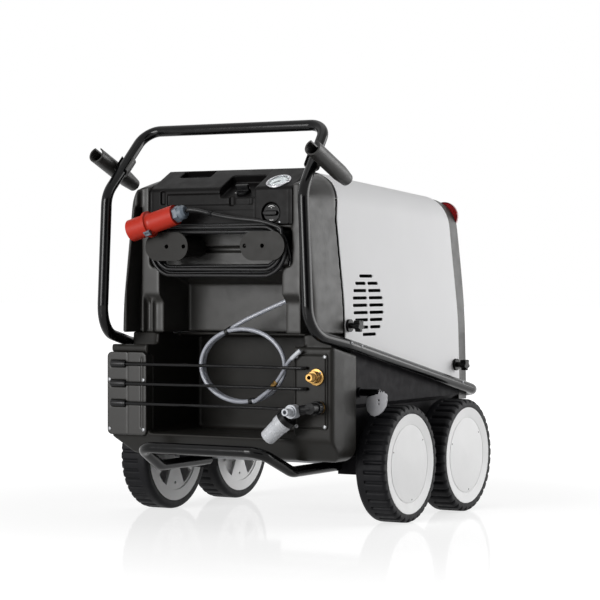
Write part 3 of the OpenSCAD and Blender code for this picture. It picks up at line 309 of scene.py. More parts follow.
def rounded(corners, n=6):
    """Outline with a fillet at each (a, b, radius) corner."""
    out = []
    for i, (x, y, r) in enumerate(corners):
        p, a, b = Vector((x, y)), Vector(corners[i - 1][:2]), Vector(corners[(i + 1) % len(corners)][:2])
        if r <= 0:
            out.append(p)
            continue
        u, v = (a - p).normalized(), (b - p).normalized()
        half = u.angle(v) / 2
        back = min(r / math.tan(half), 0.49 * (a - p).length, 0.49 * (b - p).length)
        r = back * math.tan(half)
        centre = p + (u + v).normalized() * (r / math.sin(half))
        start, stop = p + u * back - centre, p + v * back - centre
        out += [centre + start.lerp(stop, k / n).normalized() * r for k in range(n + 1)]
    return out


def pane(a0, a1, b0, b1, r=0):
    return rounded([(a0, b0, r), (a1, b0, r), (a1, b1, r), (a0, b1, r)])


def disc(a, b, r, n=40):
    return [(a + r * math.cos(2 * math.pi * i / n), b + r * math.sin(2 * math.pi * i / n)) for i in range(n)]


def mirrored(outline):
    return [(-p[0], p[1]) for p in outline]


class Form:
    """A base solid with a chain of joins, cuts and common parts."""

    def __init__(self, base):
        self.obj, self.tools = base, []

    def step(self, how, tools):
        for tool in tools:
            m = self.obj.modifiers.new("form", "BOOLEAN")
            m.operation, m.solver, m.object = how, "EXACT", tool
            self.tools.append(tool)
        return self

    def add(self, *tools):
        return self.step("UNION", tools)

    def cut(self, *tools):
        return self.step("DIFFERENCE", tools)

    def keep(self, *tools):
        return self.step("INTERSECT", tools)

    def made(self, name, voxel, soft):
        """Even skin of small faces, with its edges softened."""
        skin = self.obj.modifiers.new("skin", "REMESH")
        skin.mode, skin.voxel_size, skin.use_smooth_shade = "VOXEL", voxel / 1000, True
        ease_off = self.obj.modifiers.new("soft", "SMOOTH")
        ease_off.factor, ease_off.iterations = 0.5, soft
        seen = self.obj.evaluated_get(bpy.context.evaluated_depsgraph_get())
        data = bpy.data.meshes.new_from_object(seen)
        for o in self.tools + [self.obj]:
            bpy.data.objects.remove(o)
        return bpy.data.objects.new(name, data)


def turned(name, profile, at, along, n=48):
    """Turned part: (radius, height) pairs in mm along a direction; a third value of 6 gives a hexagon."""
    frame_at = Matrix.Translation(mm(*at)) @ Vector(along).to_track_quat("Z", "Y").to_matrix().to_4x4()
    rings = []
    for r, h, *sides in profile:
        ring = []
        for i in range(n):
            a = 2 * math.pi * i / n
            k = r
            if sides:
                part = math.pi / sides[0]
                k = r * math.cos(part) / math.cos((a % (2 * part)) - part)
            ring.append(frame_at @ (Vector((k * math.cos(a), k * math.sin(a), h)) / 1000))
        rings.append(ring)
    obj = skinned(name, rings)
    polish(obj, 35)
    return obj


def joined(name, objs):
    """One object from several, with their modifiers applied."""
    bm = bmesh.new()
    deps = bpy.context.evaluated_depsgraph_get()
    for o in objs:
        data = bpy.data.meshes.new_from_object(o.evaluated_get(deps))
        bm.from_mesh(data)
        bpy.data.meshes.remove(data)
    for o in objs:
        bpy.data.objects.remove(o)
    data = bpy.data.meshes.new(name)
    bm.to_mesh(data)
    bm.free()
    return bpy.data.objects.new(name, data)


def both(outline, axis, lo, hi):
    """The same solid on the right and on the left, for an outline whose first axis is x."""
    return prism(outline, axis, lo, hi), prism(mirrored(outline), axis, lo, hi)


# Cords

def smooth_path(points, step=0.004):
    """Points along a Catmull-Rom curve through the given ones, about a step apart."""
    p = [Vector(v) for v in points]
    p = [2 * p[0] - p[1]] + p + [2 * p[-1] - p[-2]]
    out = []
    for a, b, c, d in zip(p, p[1:], p[2:], p[3:]):
        n = max(2, round((c - b).length / step))
        for i in range(n):
            t = i / n
            out.append(0.5 * (2 * b + (c - a) * t + (2 * a - 5 * b + 4 * c - d) * t * t
                              + (3 * b - a - 3 * c + d) * t ** 3))
    return out + [p[-2]]


def tube(name, points, r):
    curve = bpy.data.curves.new(name, "CURVE")
    curve.dimensions = "3D"
    curve.bevel_depth = r / 1000
    curve.bevel_resolution = 5
    curve.use_fill_caps = True
    line = curve.splines.new("POLY")
    line.points.add(len(points) - 1)
    for q, v in zip(line.points, points):
        q.co = (*v, 1)
    line.use_smooth = True
    return bpy.data.objects.new(name, curve)


def ease(t):
    t = min(1, max(0, t))
    return t * t * (3 - 2 * t)


CORD_R, HOSE_R, END_HOSE_R = 5, 5.5, 4.8
HOOK_Z, COIL_OUT, COIL_FRONT, COIL_BACK = 704, 202, -461.5, -450.5
COIL_UP, COIL_DOWN = 56, 77             # outer turn above and below the hooks' middle
TURN_STEP, SAG_STEP = 11.4, 15          # from one turn to the next, above and below
TURN_STEPS, COIL_STEPS = 24, 98


def turn_pt(q, half, r):
    """Place on one turn with round ends, in 24 steps: 9 round each end and 3 along each side."""
    if q < 4.5:
        return half + r * math.cos(math.radians(q * 20)), r * math.sin(math.radians(q * 20))
    if q < 7.5:
        return half * (1 - 2 * (q - 4.5) / 3), r
    if q < 16.5:
        a = math.radians((q - 7.5) * 20)
        return -half - r * math.sin(a), r * math.cos(a)
    if q < 19.5:
        return half * (2 * (q - 16.5) / 3 - 1), -r
    a = math.radians((q - 19.5) * 20)
    return half + r * math.sin(a), -r * math.cos(a)


def coil_pt(s):
    """Place on the winding after s turns, from -2 at the gland: inwards to 0 and out again in front."""
    inner = 2 - abs(s)
    a, up, down = COIL_OUT - inner * TURN_STEP, COIL_UP - inner * TURN_STEP, COIL_DOWN - inner * SAG_STEP
    r = (up + down) / 2
    x, z = turn_pt((s - math.floor(s)) * TURN_STEPS, a - r, r)
    return x, COIL_BACK + (COIL_FRONT - COIL_BACK) * ease(2 * s + 0.5), HOOK_Z + (up - down) / 2 + z


def unit(v):
    return v / v.length


plug_p, plug_q = Vector((-229.6, -503.5, 745)), Vector((-96.4, -503.5, 783.2))
plug_dir = unit(plug_q - plug_p)
PLUG_LENGTH = 172
plug_end = plug_p + plug_dir * PLUG_LENGTH
coil_pts = [(COIL_OUT, -435, 667), (COIL_OUT, -435, 679)]
coil_pts += [coil_pt(-2 + (i + 0.5) / TURN_STEPS) for i in range(COIL_STEPS)]
coil_last = Vector(coil_pts[-1])
coil_dir = unit(coil_last - Vector(coil_pts[-2]))
tail_pts = [plug_end, plug_end + plug_dir * 12, (-28, -500, 793), (0, -493, 786), (30, -485, 779), (60, -478, 774),
            (90, -471.5, 770.5), (122, -466, 767), (150, -462.5, 761), coil_last + coil_dir * 22,
            coil_last + coil_dir * 10]
cord_path = smooth_path([mm(*p) for p in coil_pts + tail_pts[::-1]])
cord = piece(tube("power_cord", cord_path, CORD_R), "machine", "rubber_black", "cord_coil", "cord_tail")
clip_ring = [(5.1, 0), (6.6, 0.3), (7, 1.4), (7, 3.4), (6.4, 4), (6.4, 6), (7, 6.6), (7, 8.6), (6.6, 9.7), (5.1, 10)]
cord_clip = piece(turned("cord_clip", clip_ring, (-4, -494, 787.1), (30, 8, -7)), "machine", "knob_black")
down_plug, out_plug = plug_dir.cross(Vector((0, -1, 0))), Vector((0, -1, 0))


def on_plug(x, y, z):
    """Place on the plug: round it from its outer side, off its axis and along it."""
    c, s = math.cos(math.radians(x)), math.sin(math.radians(x))
    return mm(*(plug_p + plug_dir * z + (out_plug * c + down_plug * s) * y))


latch = Form(prism(pane(36, 60, 29, 37, 2), 2, 50, 68, on_plug))
latch.cut(prism(pane(43, 53, 35, 40), 2, 54, 64, on_plug))
plug_latch = piece(latch.made("plug_latch", 0.8, 3), "machine", "gland_grey")


RING_MID, RING_HALF, RING_PITCH = (48, -402, 403), (122, 92), 14
RING_FROM, RING_TO, RING_STEP = 135, 645, 15


def ring_pt(a):
    """Place on the hose's oval ring at an angle, one pitch further out after each turn."""
    x, y, z = RING_MID
    r = math.radians(a)
    return Vector((x + RING_HALF[0] * math.cos(r), y - RING_PITCH * (a - RING_FROM) / 360,
                   z + RING_HALF[1] * math.sin(r)))


ring = [ring_pt(a) for a in range(RING_FROM, RING_TO + 1, RING_STEP)]
dir_out = unit(ring[-1] - ring[-2])
couple_p, couple_dir = Vector((148, -433, 352)), unit(Vector((16, -5.6, 14.4)))
COUPLE_LENGTH = 22.1
couple_q = couple_p + couple_dir * COUPLE_LENGTH
lead = [(183, -380, 572), (169, -380, 572), (150, -382, 563), (110, -388, 546), (60, -394, 524), (20, -398, 504)]
to_joint = [ring[-1] + dir_out * 14, couple_p - couple_dir * 10, couple_p]
hose_path = smooth_path([mm(*p) for p in lead + ring + to_joint])
hose = piece(tube("suction_hose", hose_path, HOSE_R), "machine", "hose_clear", "detergent_hose", "hose_coil")


def hose_tie(p, q, along):
    """Flat band round two turns side by side."""
    mid, across = (p + q) / 2, unit(q - p)
    out, half = unit(along.cross(across)), (q - p).length / 2

    def at(u, v, w):
        return mm(*(mid + across * u + out * v + along * w))

    def band(r):
        return [(math.copysign(half, math.cos(k)) + r * math.cos(k), r * math.sin(k))
                for k in (2 * math.pi * (i + 0.5) / 40 for i in range(40))]
    tie = Form(prism(band(HOSE_R + 2.1), 2, -5, 5, at))
    return tie.cut(prism(band(HOSE_R + 0.4), 2, -9, 9, at)).made("tie", 0.7, 1)


ties = [hose_tie(Vector((2, -400, 493)), ring_pt(472), unit(Vector((-40, -3, -23)))),
        hose_tie(ring_pt(284), ring_pt(644), unit(ring_pt(285) - ring_pt(283)))]
hose_bands = piece(joined("hose_bands", ties), "machine", "rubber_black", "hose_ties")
joint = [(0.5, 0.1), (6.0, 0.1), (6.2, 2), (7.6, 2.6), (7.6, 7.4), (6.4, 8), (6.4, 12), (7.2, 12.6, 6), (7.2, 17, 6),
         (5.6, 17.6), (5.2, 22), (0.5, 22)]
hose_joint = piece(turned("hose_joint", joint, couple_p, couple_dir, 36), "machine", "brass_fitting", "hose_coupling")
end_q, end_dir = Vector((222, -466, 424)), unit(Vector((22, 0, 18)))
end_path = smooth_path([mm(*p) for p in [couple_q, couple_q + couple_dir * 6, (184, -448, 386), (203, -459, 406),
                                         end_q - end_dir * 8, end_q]])
end_hose = piece(tube("suction_hose_end", end_path, END_HOSE_R), "machine", "hose_clear")


# Rear housing: a tapered shell under a sloping crown, with the cord bay, the hose recess and the pillars cut into it

OUT = -470                                      # past the rear face, where cuts begin
OUTLET, INLET = (289, 380), (297, 305)          # middles of the water connections, across and up
LEDGE = [(-458, 440), (-428, 440), (-428, 563), (-455, 590), (-458, 590)]
side_line = [(309.3, 480, 0), (307, 560, 1070), (271, 893, 93)]


def shell_ring(y, inset):
    """Outline of the shell at a depth, drawn in from its widest."""
    line = [(x - inset, z, r) for x, z, r in side_line]
    return [mm(x, y, z) for x, z in rounded(line + [(-x, z, r) for x, z, r in line[::-1]], 10)]


shell = Form(solid([shell_ring(*at) for at in ((-467, 32), (-465, 26), (-460, 22), (-452, 19), (-351, 0), (-325, 0))]))


CROWN_Y, CROWN_Z, CROWN_RISE = -455, 856, math.radians(14.5)    # rear edge of the crown, and its slope
CROWN_HALF, CROWN_R, CROWN_FOOT, CROWN_TAPER = 274.3, 56, 400, 36 / 328


def crown_ring(y):
    """Outline under the crown, which rises towards the hood."""
    top = CROWN_Z + (y - CROWN_Y) * math.tan(CROWN_RISE)
    line = [(CROWN_HALF + (top - CROWN_FOOT) * CROWN_TAPER, CROWN_FOOT, 0), (CROWN_HALF, top, CROWN_R)]
    return [mm(x, y, z) for x, z in rounded(line + [(-x, z, r) for x, z, r in line[::-1]], 10)]


shell.keep(solid([crown_ring(-470), crown_ring(-300)]))
shell.keep(prism([(-468, 484), (-468, 930), (-325, 930), (-325, 862), (-341, 815), (-352, 770), (-352, 484)], 0,
                 -330, 330))
shell.add(prism(pane(-188, 188, 484, 650), 1, -354, -303))
shell.cut(prism(pane(-238, 238, 470, 950), 1, -480, -448), prism(pane(-213, 213, 652, 749, 16), 1, OUT, -375),
          prism([(-470, 440), (-308, 440), (-308, 609), (-400, 640), (-470, 640)], 0, -183, 183),
          prism(rounded([(-183, 600, 0), (183, 600, 0), (183, 676, 16), (-183, 676, 16)]), 1, OUT, -405),
          prism(LEDGE, 0, 182, 232), prism(LEDGE, 0, -232, -182),
          *both(rounded([(237, 470, 0), (274, 470, 0), (272, 600, 60), (246, 806, 9), (237, 812, 4)]), 1, -480, -398),
          prism(pane(-214.6, 214.6, 757, 950), 1, OUT, -300),
          prism(pane(-213, 213, 745, 765), 1, OUT, -442),
          prism(pane(-106, 106, 690, 705, 4), 1, -380, -358))
shell.add(prism(pane(-216, -209, 484, 572, 2), 1, -440, -425))
piece(shell.made("housing_shell", 3.0, 10), "machine", "black_moulding", "rear_housing")

# Hose bin: chamfered plan and foot, hollow columns, and shoulders that close the gap under the housing

bin_plan = [(-350, -333), (-350, -404), (-328, -452), (321, -452), (328, -449), (331, -443), (334, -400), (334, -333)]
bin_side = rounded([(-452, 455, 8), (-452, 220, 22), (-402, 166, 25), (-333, 166, 0), (-333, 431.5, 0)], 8)
bin_form = Form(prism(bin_side, 0, -360, 360)).keep(prism(bin_plan, 2, 100, 600))
foot_line = [(-352, 600, 0), (-352, 234, 0), (-286, 164, 0), (334, 164, 42), (334, 600, 0)]
bin_form.keep(prism(rounded(foot_line, 10), 1, -500, -300))
hollow = [(236, -440), (318, -440), (322, -410), (322, -320), (236, -320)]
bin_form.cut(*both(hollow, 2, 250, 418))
bin_form.add(prism(pane(-223, 223, 220, 483.7, 12), 1, -452, -201),
             prism(pane(217, 300, 420, 483.8), 1, -398, -326), prism(pane(-300, -217, 420, 483.8), 1, -398, -326))
bin_form.cut(prism(pane(-218, 218, 225, 475, 14), 1, OUT, -206),
             prism(pane(-224, 224, 455, 600), 1, -475, -400), prism(pane(-217, 217, 455, 600), 1, -475, -308),
             prism(pane(-340.4, -217.6, 217.6, 433.4, 14), 1, -475, -424.6),
             prism(pane(-326, -320, 434, 500), 1, OUT, -443),
             prism(disc(*OUTLET, 14), 1, OUT, -430), prism(disc(*INLET, 14), 1, OUT, -430))
piece(bin_form.made("hose_bin", 3.45, 7), "machine", "black_moulding", "rear_bin", look="bin_black")

# Connection plate with a groove round it

PLATE_Y = -456                                  # face of the plate
plate = Form(prism(pane(224, 318, 250, 438, 8), 1, PLATE_Y, -452.2))
plate.cut(prism(pane(227, 315, 253, 435, 7), 1, OUT, -453.4))
plate.add(prism(pane(230.5, 311.5, 256.5, 431.5, 6), 1, PLATE_Y, -453))
plate.cut(prism(disc(*OUTLET, 12), 1, OUT, -440), prism(disc(*INLET, 12), 1, OUT, -440))
piece(plate.made("connection_panel", 1.2, 2), "machine", "black_moulding", "connection_plate", look="bin_black")

# Control panel on its slope: switch scoop, tool tray, and the seats of the gauge and the dosing knob

SLOPE = math.radians(28.5)
PANEL_Y, PANEL_Z, PANEL_UP = -446, 850, 120     # lower edge of the slope, and its length
PANEL_FOOT, PANEL_HALF = 757.3, 214
GAUGE, SWITCH = (157, 32), (56, 18)             # middles on the slope, across and up it
DOSE = (150, 786)                               # middle on the upright face, across and up


def on_panel(x, s, h):
    """Place on the panel's slope: across, up the slope and off its face."""
    return mm(x, PANEL_Y + s * math.cos(SLOPE) - h * math.sin(SLOPE),
              PANEL_Z + s * math.sin(SLOPE) + h * math.cos(SLOPE))


top_y, top_z = PANEL_Y + PANEL_UP * math.cos(SLOPE), PANEL_Z + PANEL_UP * math.sin(SLOPE)
panel_side = [(PANEL_Y, PANEL_FOOT, 0), (PANEL_Y, PANEL_Z, 14), (top_y, top_z, 8), (top_y, PANEL_FOOT, 0)]
panel = Form(prism(rounded(panel_side), 0, -PANEL_HALF, PANEL_HALF))
panel.cut(prism(pane(0, 102, -20, 73, 10), 2, -22, 40, on_panel),
          prism(pane(-162, -67, 69, 106, 6), 2, -18, 40, on_panel),
          prism(disc(*GAUGE, 30.1, 64), 2, -28, 40, on_panel),
          prism(disc(*SWITCH, 5.1), 2, -50, 0, on_panel),
          prism(disc(*DOSE, 26.3, 48), 1, OUT, -434),
          prism(disc(*DOSE, 5.1), 1, OUT, -406))
# Recessed band with its two slots, and the lines that part the console from the band
panel.cut(prism(rounded([(-160, 808, 3), (98, 808, 3), (98, 838, 3), (-160, 838, 3)]), 1, OUT, -443.5),
          prism(pane(-180, -166, 812, 846, 3), 1, OUT, -440), prism(pane(27, 41, 806, 830, 3), 1, OUT, -438),
          prism(pane(-202, 98, 791.5, 794.5), 1, OUT, -443.5),
          prism(pane(-207.5, -204.5, 770, 900), 1, OUT, -443.5), prism(pane(101.5, 104.5, 740, 860), 1, OUT, -443),
          prism(pane(199.5, 202.5, 740, 860), 1, OUT, -443),
          prism(pane(101.5, 104.5, -20, 130), 2, -3, 40, on_panel),
          prism(pane(199.5, 202.5, -20, 130), 2, -3, 40, on_panel),
          prism(pane(-207.5, -204.5, -20, 130), 2, -2.5, 40, on_panel))
panel.add(prism(pane(46, 86, 810, 824, 3), 1, -445, -438))
piece(panel.made("panel_cover", 1.8, 5), "machine", "panel_black", "control_panel")

# Box that holds the three rods

ROD_Y, ROD_Z = -457, (300, 351, 402)            # the rods lie half sunk in the box's face
clip = Form(prism(pane(-340, -218, 218, 433, 14), 1, ROD_Y, -425))
for z in ROD_Z:
    clip.cut(prism(disc(ROD_Y, z, 9.4), 0, -328.4, -280.6), prism(disc(ROD_Y, z, 4.4), 0, -300, -200))
clip.cut(prism(pane(-277, -274, 200, 450), 1, OUT, -451), prism(pane(-236, -228, 236, 420, 3), 1, OUT, -454.5))
piece(clip.made("clip_box", 1.8, 5), "machine", "black_moulding", "rod_clip_box")


# Screws and brass outlet

BACK, FLANGE = (0, -1, 0), 5                    # way that they face, and the height of the outlet's flange
HEAD = [(0.2, 1.2), (2.2, 1.2), (2.4, 2.3), (3.8, 2.1), (4.7, 1.4), (5.0, 0.5), (5.0, 0), (0.2, 0)]
SMALL = [(r * 0.6, h * 0.6) for r, h in HEAD]
BOLT = [(r * 0.8, h * 1.2) for r, h in HEAD]
heads = [turned("screw", HEAD, (x, ROD_Y, z), BACK, 24) for x in (-332, -226) for z in (233, 361)]
heads += [turned("screw", HEAD, (x, PLATE_Y, z), BACK, 24) for x in (231, 311) for z in (258, 430)]
heads += [turned("screw", SMALL, (x, PLATE_Y - FLANGE, z), BACK, 20) for x, z in ((301.5, 391), (276.5, 369))]
heads += [turned("screw", SMALL, (176, PANEL_Y, 763), BACK, 20)]
heads += [turned("screw", BOLT, (sx * 343.4, y, z), (sx, 0, 0), 20) for sx in (-1, 1)
          for y, z in ((-378, 463), (-326, 454), (246, 341))]
piece(joined("screw_heads", heads), "machine", "zinc_steel", "screws")

thread = [(10.9 - (i % 2) * 0.9, 38.6 - i * 0.85) for i in range(16)]
outlet = [(5, 2), (5, 40), (9.4, 40)] + thread
outlet += [(9.8, 24.4), (14.2, 24.2), (15.6, 23.2, 6), (15.6, 14.6, 6), (14.6, 14), (14.6, 5.6),
           (20.2, FLANGE), (21, 4.2), (21, 0), (5, 0), (5, 2)]
piece(turned("outlet_coupling", outlet, (OUTLET[0], PLATE_Y, OUTLET[1]), BACK, 60), "machine", "brass_fitting",
      "outlet_fitting")


# Controls

GRIP_HALF, GRIP_R = 5, 4.9
DOSE_Y = -441.7                                 # face of the dosing knob
knob = Form(prism(disc(*DOSE, 24, 64), 1, DOSE_Y, -434.3))
knob.add(prism(pane(DOSE[0] - 20, DOSE[0] + 20, DOSE[1] - GRIP_HALF, DOSE[1] + GRIP_HALF, GRIP_R), 1, -451.5, -440))
piece(knob.made("dosing_dial", 0.9, 6), "dosing_knob", "knob_black", "dosing_knob")

lever = Form(prism(disc(*SWITCH, 19, 64), 2, -21.7, -13.7, on_panel))
lever.add(prism(pane(SWITCH[0] - 19, SWITCH[0] + 19, SWITCH[1] - GRIP_HALF, SWITCH[1] + GRIP_HALF, GRIP_R), 2, -15, 0.3,
                on_panel))
piece(lever.made("switch_lever", 0.9, 6), "switch_knob", "knob_black", "switch_knob")

normal = on_panel(0, 0, 1) - on_panel(0, 0, 0)
spot = on_panel(*GAUGE, 0) * 1000 - Vector((0, SHIFT, 0))
bezel = [(27.4, -3), (27.4, 3.2), (28.4, 4), (30.6, 4), (32.4, 3), (33, 1.8), (33, 0.4), (30, 0.3), (30, -28), (1, -28),
         (1, -4), (27.4, -4), (27.4, -3)]
piece(turned("gauge_bezel", bezel, spot, normal, 72), "machine", "gauge_chrome", "gauge_case")


def arc_bar(a0, a1, r0, r1, h0, h1, place, n=12):
    """Flat bar between two angles and radii."""
    ring = [(r0, a0 + (a1 - a0) * i / n) for i in range(n + 1)] + [(r1, a1 - (a1 - a0) * i / n) for i in range(n + 1)]
    return solid([[place(a, r, h) for r, a in ring] for h in (h0, h1)])


def round_spot(middle, a, r):
    """Place at an angle and radius round a middle."""
    return middle[0] + r * math.cos(math.radians(a)), middle[1] + r * math.sin(math.radians(a))


def on_dose(a, r, h):
    x, z = round_spot(DOSE, a, r)
    return mm(x, DOSE_Y - 0.05 - h, z)


def on_switch(a, r, h):
    return on_panel(*round_spot(SWITCH, a, r), h)


def on_gauge(a, r, h):
    return on_panel(*round_spot(GAUGE, a, r), h)


def on_face(u, v, h):
    """Place on the gauge's face along and across the needle, which rests down to the left."""
    c = math.sqrt(0.5)
    return on_panel(GAUGE[0] - c * (u - v), GAUGE[1] - c * (u + v), h)


piece(turned("dial_face", [(0.1, -0.6), (27.2, -0.6), (27.2, -2.4), (0.1, -2.4)], spot, normal, 72), "machine",
      "dial_white", "gauge_dial")
needle_line = [(-7, -1.2), (0, -1.4), (20, -0.4), (20, 0.4), (0, 1.4), (-7, 1.2)]
needle_solids = [prism(needle_line, 2, -0.1, 0.5, on_face), prism(disc(0, 0, 2.6, 24), 2, -0.3, 0.8, on_face)]
piece(joined("needle", needle_solids), "gauge_needle", "needle_black", "gauge_needle")

# Plain marks round the two knobs, and ticks on the dial

DOSE_MARK, TICK = (0, 0.25), (-0.58, -0.35)     # lower and upper faces
marks = [arc_bar(62, 118, 17.4, 18.8, *DOSE_MARK, on_dose), arc_bar(250, 288, 17.4, 18.8, *DOSE_MARK, on_dose),
         arc_bar(84, 96, 12.5, 14.2, *DOSE_MARK, on_dose, 4)]
piece(joined("dosing_marks", marks), "dosing_knob", "dial_white")
marks = [arc_bar(a - 3, a + 3, 21.5, 26, -22.1, -21.6, on_switch, 3) for a in (90, 135, 180)]
piece(joined("switch_marks", marks), "machine", "dial_white")

ticks = [arc_bar(a - 0.8, a + 0.8, 19 if i % 5 == 0 else 22, 25, *TICK, on_gauge, 2)
         for i, a in enumerate(range(225, -46, -9))]
ticks.append(arc_bar(-45, 225, 25, 25.8, *TICK, on_gauge, 40))
piece(joined("dial_ticks", ticks), "machine", "needle_black")

# Brake: half-disc plate with teeth at its top, on a black sleeve

BRAKE_AXIS, BRAKE_BORE = (-287, 336), 5.2
teeth = [(391 - 3 * i, 341 if i % 2 else 337) for i in range(8)]
rim = [(364, 331), (346, 327), (338, 320), (338.5, 304), (342, 290), (351, 280), (362, 277), (374, 281), (386, 290),
       (395, 303), (398, 318), (397, 334)]
pedal = Form(prism(rim + teeth, 1, -295.4, -290.5))
pedal.cut(prism(disc(*BRAKE_AXIS, BRAKE_BORE), 0, 300, 400), prism(disc(374, 318, 3), 1, -300, -280),
          prism(disc(374, 308, 2.2), 1, -300, -280))
piece(pedal.made("brake_plate", 1.0, 3), "brake_pedal", "zinc_steel", "brake_pedal", look="plate_grey")
sleeve = Form(prism(disc(*BRAKE_AXIS, 9), 0, 320.4, 374)).add(prism(pane(340, 374, 320, 338, 3), 1, -290.4, -285))
sleeve.cut(prism(disc(*BRAKE_AXIS, BRAKE_BORE), 0, 300, 400))
piece(sleeve.made("brake_hub", 0.8, 2), "brake_pedal", "frame_black")


# Wheels

WHEEL_X, HALF_BASE, WHEEL_R = 357.5, 165.5, 150     # middle of a wheel, and the tyre's radius
LUGS, LUG_STEPS, GROOVE = 36, 12, 5.0               # lugs round a tyre, steps for each, and the grooves' depth
GROOVE_HALF, GROOVE_SIDE = 1.2, 1.3                 # half of a groove's floor and its flank, in steps
GROOVE_END, TREAD_R, FADE_R = -15.5, 146, 134       # where grooves end across the tread and down its outer side
BEAD_R, RIM_R, SIDE_R = 121.2, 128.2, 139           # seat on the rim, rim's edge, start of the shoulder
SHOULDER_X, SHOULDER = 30.5, 11                     # middle of the round shoulder, and its radius
COVER = [(0.1, 36.4), (99, 36.4), (99.2, 36.9), (0.1, 39), (0.1, 36.4)]
DISH = [(101, 36.2), (101.2, 36.7), (126, 40.6), (127.4, 40.8), (128, 40.3), (128, 36.2), (101, 36.2)]
PIN = [(0.1, 37.5), (1.6, 37.4), (2.0, 37.0), (2.0, 36.6), (0.1, 36.6)]
PIN_RING, PIN_ANGLES = 93, (38, 158, 278)


def tyre(name, sx, sy):
    """Tyre with rounded lugs: the section turned about the axle, sunk where a groove runs out over the shoulder."""
    section = [(40.6, RIM_R), (41.3, 129.4), (41.5, 132)]
    section += [(SHOULDER_X + SHOULDER * math.cos(a), SIDE_R + SHOULDER * math.sin(a))
                for a in (0, 0.26, 0.52, 0.79, 1.05, 1.31, 1.57)]
    section += [(x, WHEEL_R) for x in (25, 18, 10, 2, -6, -12, -15, -17, -19, -24)]
    section += [(-SHOULDER_X - SHOULDER * math.sin(a), SIDE_R + SHOULDER * math.cos(a))
                for a in (0, 0.4, 0.8, 1.2, 1.57)]
    section += [(-40.6, RIM_R), (-34.4, RIM_R), (-34.4, BEAD_R), (34.4, BEAD_R), (34.4, RIM_R)]
    n, rings = LUG_STEPS * LUGS, []
    for i in range(n):
        a = 2 * math.pi * i / n
        off = abs((i % LUG_STEPS) - LUG_STEPS / 2)
        sink = GROOVE * (1 - ease((off - GROOVE_HALF) / GROOVE_SIDE))
        ring = []
        for x, r in section:
            on_tread = x > GROOVE_END and r > TREAD_R
            out = 1.0 if on_tread else ease((r - FADE_R) / (TREAD_R - FADE_R)) if x > 0 else 0.0
            k = max(r - sink * out, BEAD_R - 0.2)
            ring.append(mm(sx * (WHEEL_X + x), sy * HALF_BASE + k * math.cos(a), WHEEL_R + k * math.sin(a)))
        rings.append(ring)
    obj = skinned(name, rings, endless=True)
    polish(obj, 40)
    return obj


for end, sy in (("rear", -1), ("front", 1)):
    for hand, sx in (("right", 1), ("left", -1)):
        which, outward = end + "_" + hand, (sx, 0, 0)
        body, hub = "road_wheel_" + which, (sx * WHEEL_X, sy * HALF_BASE, WHEEL_R)
        piece(tyre("lugged_tyre_" + which, sx, sy), body, "tyre_black", "tyre_" + which)
        piece(turned("cover_" + which, COVER, hub, outward, 72), body, "wheel_white")
        piece(turned("dish_" + which, DISH, hub, outward, 96), body, "wheel_white")
        pins = [turned("pin", PIN, (hub[0], *round_spot(hub[1:], a, PIN_RING)), outward, 16) for a in PIN_ANGLES]
        piece(joined("cover_pins_" + which, pins), body, "knob_black")


# Floor, backdrop and lamps

FLOOR_HALF, FLOOR_NOISE = 40, 3
FLOOR_GREY, FLOOR_GLOSS, FLOOR_ROUGH = (0.40, 0.43), 0.14, 0.06
FLOOR_GLOW, GLOW_FROM, GLOW_TO = 0.69, 0.7, 2.6     # seen brightness under the object, and where it grows to white
WORLD_FILL = 0.12


def seen_rays(tree, seen, other):
    """Strength for camera, glossy and transmission rays, and for the light that falls on the object."""
    path = tree.nodes.new("ShaderNodeLightPath")
    total = path.outputs["Is Camera Ray"]
    for name in ("Is Glossy Ray", "Is Transmission Ray"):
        top = tree.nodes.new("ShaderNodeMath")
        top.operation = "MAXIMUM"
        tree.links.new(total, top.inputs[0])
        tree.links.new(path.outputs[name], top.inputs[1])
        total = top.outputs[0]
    return ranged(tree, total, 0, 1, other, seen)


def stage_material():
    """Pale floor that takes the object's shadow and a faint reflection, and is white to the camera further off."""
    m = bpy.data.materials.new("floor")
    m.use_nodes = True
    t = m.node_tree
    t.nodes.clear()
    out = t.nodes.new("ShaderNodeOutputMaterial")
    soft = t.nodes.new("ShaderNodeBsdfDiffuse")
    noise = t.nodes.new("ShaderNodeTexNoise")
    noise.inputs["Scale"].default_value = FLOOR_NOISE
    ramp = t.nodes.new("ShaderNodeValToRGB")
    for stop, grey in zip(ramp.color_ramp.elements, FLOOR_GREY):
        stop.color = (grey, grey, grey, 1)
    t.links.new(noise.outputs["Fac"], ramp.inputs["Fac"])
    t.links.new(ramp.outputs["Color"], soft.inputs["Color"])
    gloss = t.nodes.new("ShaderNodeBsdfGlossy")
    gloss.inputs["Roughness"].default_value = FLOOR_ROUGH
    mix = t.nodes.new("ShaderNodeMixShader")
    mix.inputs["Fac"].default_value = FLOOR_GLOSS
    t.links.new(soft.outputs[0], mix.inputs[1])
    t.links.new(gloss.outputs[0], mix.inputs[2])
    glow = t.nodes.new("ShaderNodeEmission")
    place = t.nodes.new("ShaderNodeTexCoord")
    away = t.nodes.new("ShaderNodeVectorMath")
    away.operation = "LENGTH"
    t.links.new(place.outputs["Object"], away.inputs[0])
    level = ranged(t, away.outputs["Value"], GLOW_FROM, GLOW_TO, FLOOR_GLOW, 1.0, "SMOOTHSTEP")
    t.links.new(level, glow.inputs["Color"])
    t.links.new(seen_rays(t, 1.0, 0.0), glow.inputs["Strength"])
    add = t.nodes.new("ShaderNodeAddShader")
    t.links.new(mix.outputs[0], add.inputs[0])
    t.links.new(glow.outputs[0], add.inputs[1])
    t.links.new(add.outputs[0], out.inputs["Surface"])
    return m


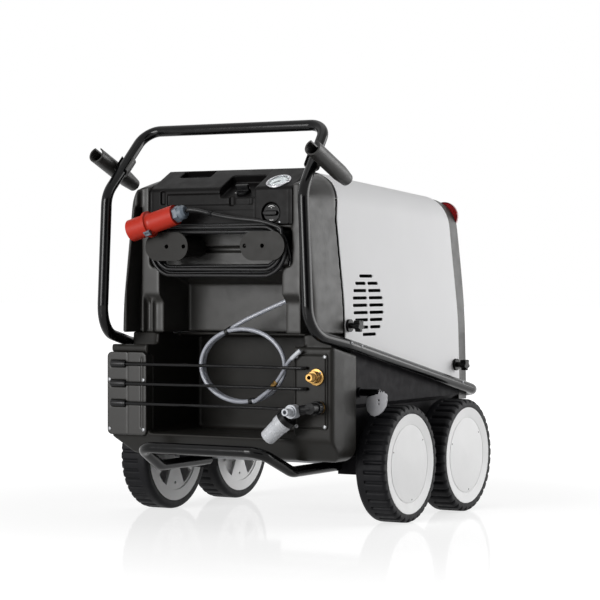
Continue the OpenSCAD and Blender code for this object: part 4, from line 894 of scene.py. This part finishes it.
mesh = bpy.data.meshes.new("floor")
mesh.from_pydata([(sx * FLOOR_HALF, sy * FLOOR_HALF, 0) for sx, sy in ((-1, -1), (1, -1), (1, 1), (-1, 1))], [],
                 [(0, 1, 2, 3)])
floor = bpy.data.objects.new("floor", mesh)
floor.data.materials.append(stage_material())
scene.collection.objects.link(floor)

world = bpy.data.worlds.new("studio")
world.use_nodes = True
scene.world = world
backdrop = world.node_tree.nodes["Background"]
backdrop.inputs["Color"].default_value = (1, 1, 1, 1)
world.node_tree.links.new(seen_rays(world.node_tree, 1.0, WORLD_FILL), backdrop.inputs["Strength"])


def lamp(name, at, to, size, power):
    """Area lamp aimed at a place."""
    data = bpy.data.lights.new(name, "AREA")
    data.shape = "RECTANGLE"
    data.size, data.size_y = size
    data.energy = power
    o = bpy.data.objects.new(name, data)
    o.location = at
    o.rotation_euler = (Vector(to) - Vector(at)).to_track_quat("-Z", "Y").to_euler()
    scene.collection.objects.link(o)


lamp("key", (-1.2, -4.7, 1.35), (0, 0, 0.5), (2.2, 2.0), 195)
lamp("side", (3.9, 3.0, 1.3), (0, 0, 0.55), (5.0, 2.4), 178)
lamp("top", (0.3, 0.2, 3.6), (0, 0, 0.5), (2.2, 2.2), 14)


FLAG_GREY, FLAG_UP = 0.05, 3.2


def flag(name, towards, distance, width):
    """Dark studio card that only reflections meet, upright and facing the object."""
    side = Vector((-towards[1], towards[0], 0)) * width / 2
    mid = Vector((*towards, 0)) * distance
    data = bpy.data.meshes.new(name)
    up = Vector((0, 0, FLAG_UP))
    data.from_pydata([mid - side, mid + side, mid + side + up, mid - side + up], [], [(0, 1, 2, 3)])
    card = bpy.data.objects.new(name, data)
    m = bpy.data.materials.new(name)
    m.use_nodes = True
    grey = (FLAG_GREY, FLAG_GREY, FLAG_GREY, 1)
    m.node_tree.nodes["Principled BSDF"].inputs["Base Color"].default_value = grey
    data.materials.append(m)
    scene.collection.objects.link(card)
    for way in ("camera", "diffuse", "transmission", "shadow", "volume_scatter"):
        setattr(card, "visible_" + way, False)


flag("flag_rear", (0.62, -0.785), 7.5, 6.5)
